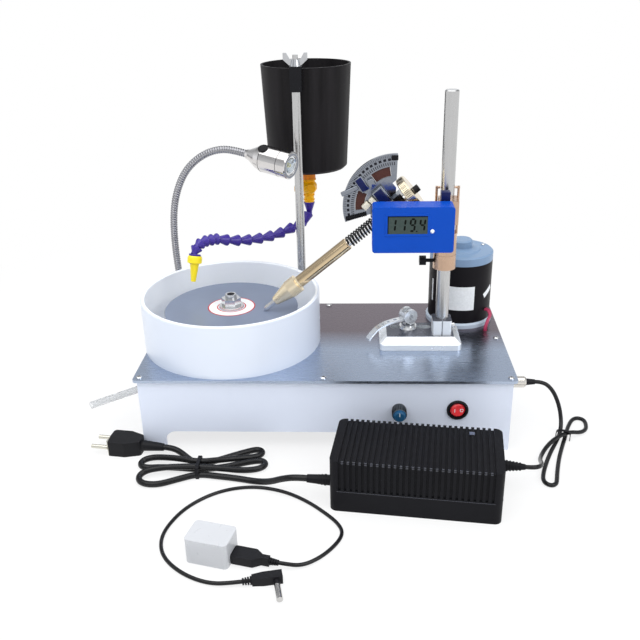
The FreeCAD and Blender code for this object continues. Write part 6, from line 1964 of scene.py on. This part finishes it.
@dataclass
class Neck:
    """The ribbed lamp neck, and the front of the lamp."""

    route: tuple[Point, ...] = (
        (-184, 92, 82), (-184, 92, 112), (-186.4, 90.4, 150), (-186, 88.4, 186), (-182.5, 86, 217),
        (-174.8, 84, 242), (-162.2, 81, 264), (-143.3, 78, 280), (-124, 75, 287.5), (-106, 71, 288),
        (-88, 62.5, 284.6),
    )
    face: Point = (-38, 34.5, 277.6)
    core_radius: float = 3.8
    rib_radius: float = 4.3
    ribs: int = 92
    seams: tuple[float, float] = (24.4, 47.5)

    def dress(self) -> None:
        """Builds the neck from a core and ribs, then the lamp's front."""
        core = route_curve("neck_core", self.route, self.core_radius)
        core_mesh = bpy.data.meshes.new_from_object(core.evaluated_get(bpy.context.evaluated_depsgraph_get()))
        discard(core)
        half = 0.5 * (self.rib_radius - self.core_radius)
        low = self.core_radius - half
        middle = self.rib_radius - half
        rib = turned([(low, -1.35), (middle, -0.95), (self.rib_radius, -0.3), (self.rib_radius, 0.3),
                      (middle, 0.95), (low, 1.35)], Matrix.Identity(4), 20)
        ribs = along_curve("neck_ribs", rib, self.route, self.ribs, Finishes.NECK)
        neck = show("ribbed_neck", joined([core_mesh, ribs]), Finishes.NECK, Body.LAMP)
        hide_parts("lamp_neck")
        self.dress_head()

    def dress_head(self) -> None:
        """Fits reflector, light chip and lens into the lamp, with a bezel and two seams."""
        along = (Vector(self.face) - Vector(self.route[-1])).normalized()
        frame = axis_frame(self.route[-1], along)
        cup = turned([(0.0, 56.1), (10.2, 56.1), (10.2, 59.0), (9.4, 59.0), (4.2, 56.6), (0.0, 56.6)], frame)
        show("lamp_reflector", cup, Finishes.REFLECTOR, Body.LAMP)
        chip = turned([(0.0, 56.65), (2.1, 56.65), (2.1, 57.2), (0.0, 57.2)], frame, 24)
        show("lamp_chip", chip, Finishes.YELLOW, Body.LAMP)
        lens = turned([(0.0, 58.0), (8.6, 58.0), (8.6, 58.8), (5.0, 59.6), (0.0, 59.9)], frame)
        show("lamp_lens", lens, Finishes.LENS, Body.LAMP)
        bezel = ring_plate(11.2, 13.6, 0.25, frame @ moved(0.0, 0.0, 60.0))
        show("lamp_bezel", bezel, Finishes.CHROME, Body.LAMP)
        seams = joined([ring_plate(14.6, 15.08, 0.5, frame @ moved(0.0, 0.0, seam)) for seam in self.seams])
        show("lamp_seams", seams, Finishes.TICK_AND_SHADE, Body.LAMP)


@dataclass
class Hose:
    """The jointed hose as links, wide end towards the tank: a long run, then short links round the bend."""

    run: tuple[Point, ...] = (
        (-24.2, 140.5, 207), (-24.2, 140.5, 196), (-30, 130, 186), (-43, 117.5, 181.5), (-62, 102, 177),
        (-84.2, 85, 177), (-106.2, 68, 180.5), (-117, 59.2, 184.6),
    )
    bend: tuple[Point, ...] = (
        (-127.2, 51, 188.5), (-139, 39.9, 190.5), (-145.8, 32.9, 187.7), (-149, 28.7, 182.3),
        (-149.6, 27.4, 178.0),
    )
    run_links: int = 10
    run_pitch: float = 14.85
    bend_links: int = 6
    bend_pitch: float = 7.4
    cone_share: float = 0.72
    wide: float = 6.9
    waist: float = 3.5

    def dress(self) -> None:
        """Strings both sets of links and joins them."""
        pieces = [
            self.string("hose_run", self.run, self.run_links, self.run_pitch),
            self.string("hose_bend", self.bend, self.bend_links, self.bend_pitch),
        ]
        hose = show("hose_links", joined(pieces), Finishes.VIOLET, Body.TANK)
        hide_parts("coolant_hose")

    def string(self, name: str, route: tuple[Point, ...], links: int, pitch: float) -> bpy.types.Mesh:
        """Strings links of one length along a route.

        Args:
            name: the tree's name.
            route: points that the links follow.
            links: how many links.
            pitch: a link's length in millimetres.

        Returns:
            The links as one mesh.
        """
        length = pitch * self.cone_share
        link = turned([
            (self.waist, -0.6), (self.wide - 0.4, -0.6), (self.wide, 0.0), (self.wide - 0.1, 1.0),
            (self.waist + 0.3, length), (self.waist, length + 1.0), (self.waist, pitch + 0.6),
        ], Matrix.Identity(4), 28)
        return along_curve(name, link, route, links, Finishes.VIOLET)


@dataclass
class Valve:
    """The rings and the round plug of the drip valve."""

    axis: tuple[float, float] = (-24.2, 140.5)
    plug_place: Point = (-21.2, 132.6, 226.5)
    plug: tuple[tuple[float, float], ...] = (
        (0.0, -5.0), (6.0, -5.0), (6.0, 2.2), (5.2, 3.2), (4.2, 3.2), (3.8, 2.6), (0.0, 2.6),
    )
    rings: tuple[tuple[float, float], ...] = ((216.4, 7.0), (210.4, 6.9), (236.0, 9.1))
    ring_depth: float = 0.9

    def dress(self) -> None:
        """Screws the plug into the ball's front, and lays rings of a level and a radius round the valve."""
        pieces = [turned(self.plug, axis_frame(self.plug_place, (0.0, -1.0, 0.0)), 36)]
        for level, radius in self.rings:
            low = radius - self.ring_depth
            profile = [(low, -1.3), (radius, -0.7), (radius, 0.7), (low, 1.3)]
            pieces.append(turned(profile, moved(*self.axis, level), 40))
        show("valve_fittings", joined(pieces), Finishes.GOLDEN, Body.TANK)


@dataclass
class Adapter:
    """Trim of the power adapter: rounded rib ends, the parting seam, a pilot light and ribbed boots."""

    corner: tuple[float, float] = (8.3, -204.0)
    size: tuple[float, float, float] = (161.4, 77.6, 55.7)
    turn: float = -6.93
    parting: float = 22.6
    rounding: float = 7.0
    ribs: int = 27
    rib_share: float = 0.26
    rib_shift: float = 0.025
    bead_inset: float = 1.25
    seam: float = 0.6
    light: Point = (5.2, 5.0, 1.2)
    light_place: tuple[float, float] = (132.0, 66.0)
    near_boot: float = 17.0
    far_boot: float = 64.0
    boot_ribs: BootRibs = BootRibs(
        count=5, inner=2.4, widest=5.6, taper=0.38, first=6.0, pitch=3.2, half=0.8, sides=28)

    def dress(self) -> None:
        """Adds the trim in the adapter's own turned frame."""
        spin = moved(*self.corner, 0.0) @ Matrix.Rotation(math.radians(self.turn), 4, "Z")
        self.dress_ribs(spin)
        self.dress_case(spin)
        self.dress_boots(spin)

    def dress_ribs(self, spin: Matrix) -> None:
        """Rounds the front ends of the ribs.

        Args:
            spin: the adapter's frame.
        """
        long, _, tall = self.size
        pitch = (long - 2 * self.rounding) / self.ribs
        half = pitch * self.rib_share
        inset = half - 0.4
        flat = Matrix.Rotation(math.radians(self.turn), 4, "Z") @ axis_frame((0.0, 0.0, 0.0), (1.0, 0.0, 0.0))
        profile = [(0.0, -half), (1.1, -half), (1.5, -inset), (1.5, inset), (1.1, half), (0.0, half)]
        bead = turned(profile, flat, 24)
        spots = []
        for step in range(1, self.ribs):
            along = self.rounding + pitch * (step + self.rib_shift)
            spots.append(tuple(spin @ metres((along, self.bead_inset, tall - self.bead_inset)) / MM))
        show("adapter_rib_ends", on_spots("adapter_rib_ends", bead, spots, Finishes.EDGE), None, Body.BASE)

    def dress_case(self, spin: Matrix) -> None:
        """Lays the seam and the pilot light.

        Args:
            spin: the adapter's frame.
        """
        long, wide, tall = self.size
        front = spin @ moved(long / 2, 0.0, self.parting)
        side = spin @ moved(long, wide / 2, self.parting)
        seams = [
            block((long - 2 * self.rounding, self.seam, self.seam), front, 0.2),
            block((self.seam, wide - 2 * self.rounding, self.seam), side, 0.2),
        ]
        show("adapter_seam", joined(seams), Finishes.EDGE, Body.BASE)
        light = block(self.light, spin @ moved(*self.light_place, tall - 0.4), 0.3)
        show("adapter_pilot_light", light, Finishes.PILOT, Body.BASE)

    def dress_boots(self, spin: Matrix) -> None:
        """Adds the ribs of both boots.

        Args:
            spin: the adapter's frame.
        """
        near = self.boot_ribs.rings((0.0, self.near_boot, self.parting), (-1.0, 0.0, 0.0), spin)
        far = self.boot_ribs.rings((self.size[0], self.far_boot, self.parting), (1.0, 0.0, 0.0), spin)
        show("boot_ribs", joined(near + far), Finishes.BLACK, Body.BASE)


@dataclass
class Foot:
    """The screw that tightens the mast foot on its mast."""

    mast: tuple[float, float] = (129.2, -11.5)
    block_half: float = 10.5
    screw_front: float = 6.8
    screw_level: float = 110.0

    def dress(self) -> None:
        """Sets the clamp screw in the right side of the clamp block."""
        spot = (self.mast[0] + self.block_half, self.mast[1] - self.screw_front, self.screw_level)
        head = turned([(0.0, 0.0), (3.0, 0.0), (3.0, 2.6), (2.5, 3.2), (1.5, 3.2), (1.5, 2.2), (0.0, 2.2)],
                      axis_frame(spot, (1.0, 0.0, 0.0)), 28)
        show("clamp_screw", head, Finishes.SCREW, Body.FOOT)


@dataclass(frozen=True)
class Tie:
    """A flat band that arches over a bundle; heading is across the leads, in degrees."""

    middle: tuple[float, float]
    heading: float
    half: float
    top: float
    width: float = 3.6
    thick: float = 0.8
    clearance: float = 0.15
    rounding: float = 4.2
    steps: int = 18

    def mesh(self) -> bpy.types.Mesh:
        """Returns the band, open at the bench."""
        side = [(self.half, self.clearance)]
        for step in range(self.steps + 1):
            angle = math.pi / 2 * step / self.steps
            side.append((self.half - self.rounding + self.rounding * math.cos(angle),
                         self.top - self.rounding + self.rounding * math.sin(angle)))
        outer = side + [(-x, z) for x, z in reversed(side)]
        share = (self.half - self.thick) / self.half
        inner = [(x * share, max(self.clearance, z - self.thick)) for x, z in outer]
        frame = moved(*self.middle, 0.0) @ Matrix.Rotation(math.radians(self.heading), 4, "Z")
        frame = frame @ facing_front((0.0, 0.0, 0.0)) @ moved(0.0, 0.0, -self.width / 2)
        return plate(outer + list(reversed(inner)), self.width, frame)


@dataclass
class Ties:
    """The two ties that hold the folded leads."""

    mains: Tie = Tie((-128.0, -143.6), heading=90.0, half=12.4, top=14.2)
    dc: Tie = Tie((258.6, -77.4), heading=-20.0, half=7.8, top=11.4)

    def dress(self) -> None:
        """Bends a flat band over each bundle."""
        show("lead_ties", joined([self.mains.mesh(), self.dc.mesh()]), Finishes.BLACK, Body.BASE)


def dress_cad(nodes: dict[str, bpy.types.Object]) -> None:
    """Gives every CAD node its finish, in its object's own material slots."""
    for finish, names in CAD_FINISHES.items():
        for name in names:
            for slot in nodes[name].material_slots:
                slot.link = "OBJECT"
                slot.material = finish.material()


def main() -> None:
    """Builds the dressed machine and its studio."""
    logging.basicConfig(level=logging.INFO, format="%(name)s: %(message)s")
    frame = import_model()
    nodes = frame["nodes"]
    Studio().build()
    dress_cad(nodes)
    Leads().build(nodes)
    assemblies = (Deck(), Lap(), Motor(), Controls(), Display(), Head(), Neck(), Hose(), Valve(), Adapter(),
                  Foot(), Ties())
    for assembly in assemblies:
        assembly.dress()


if __name__ == "__main__":
    main()
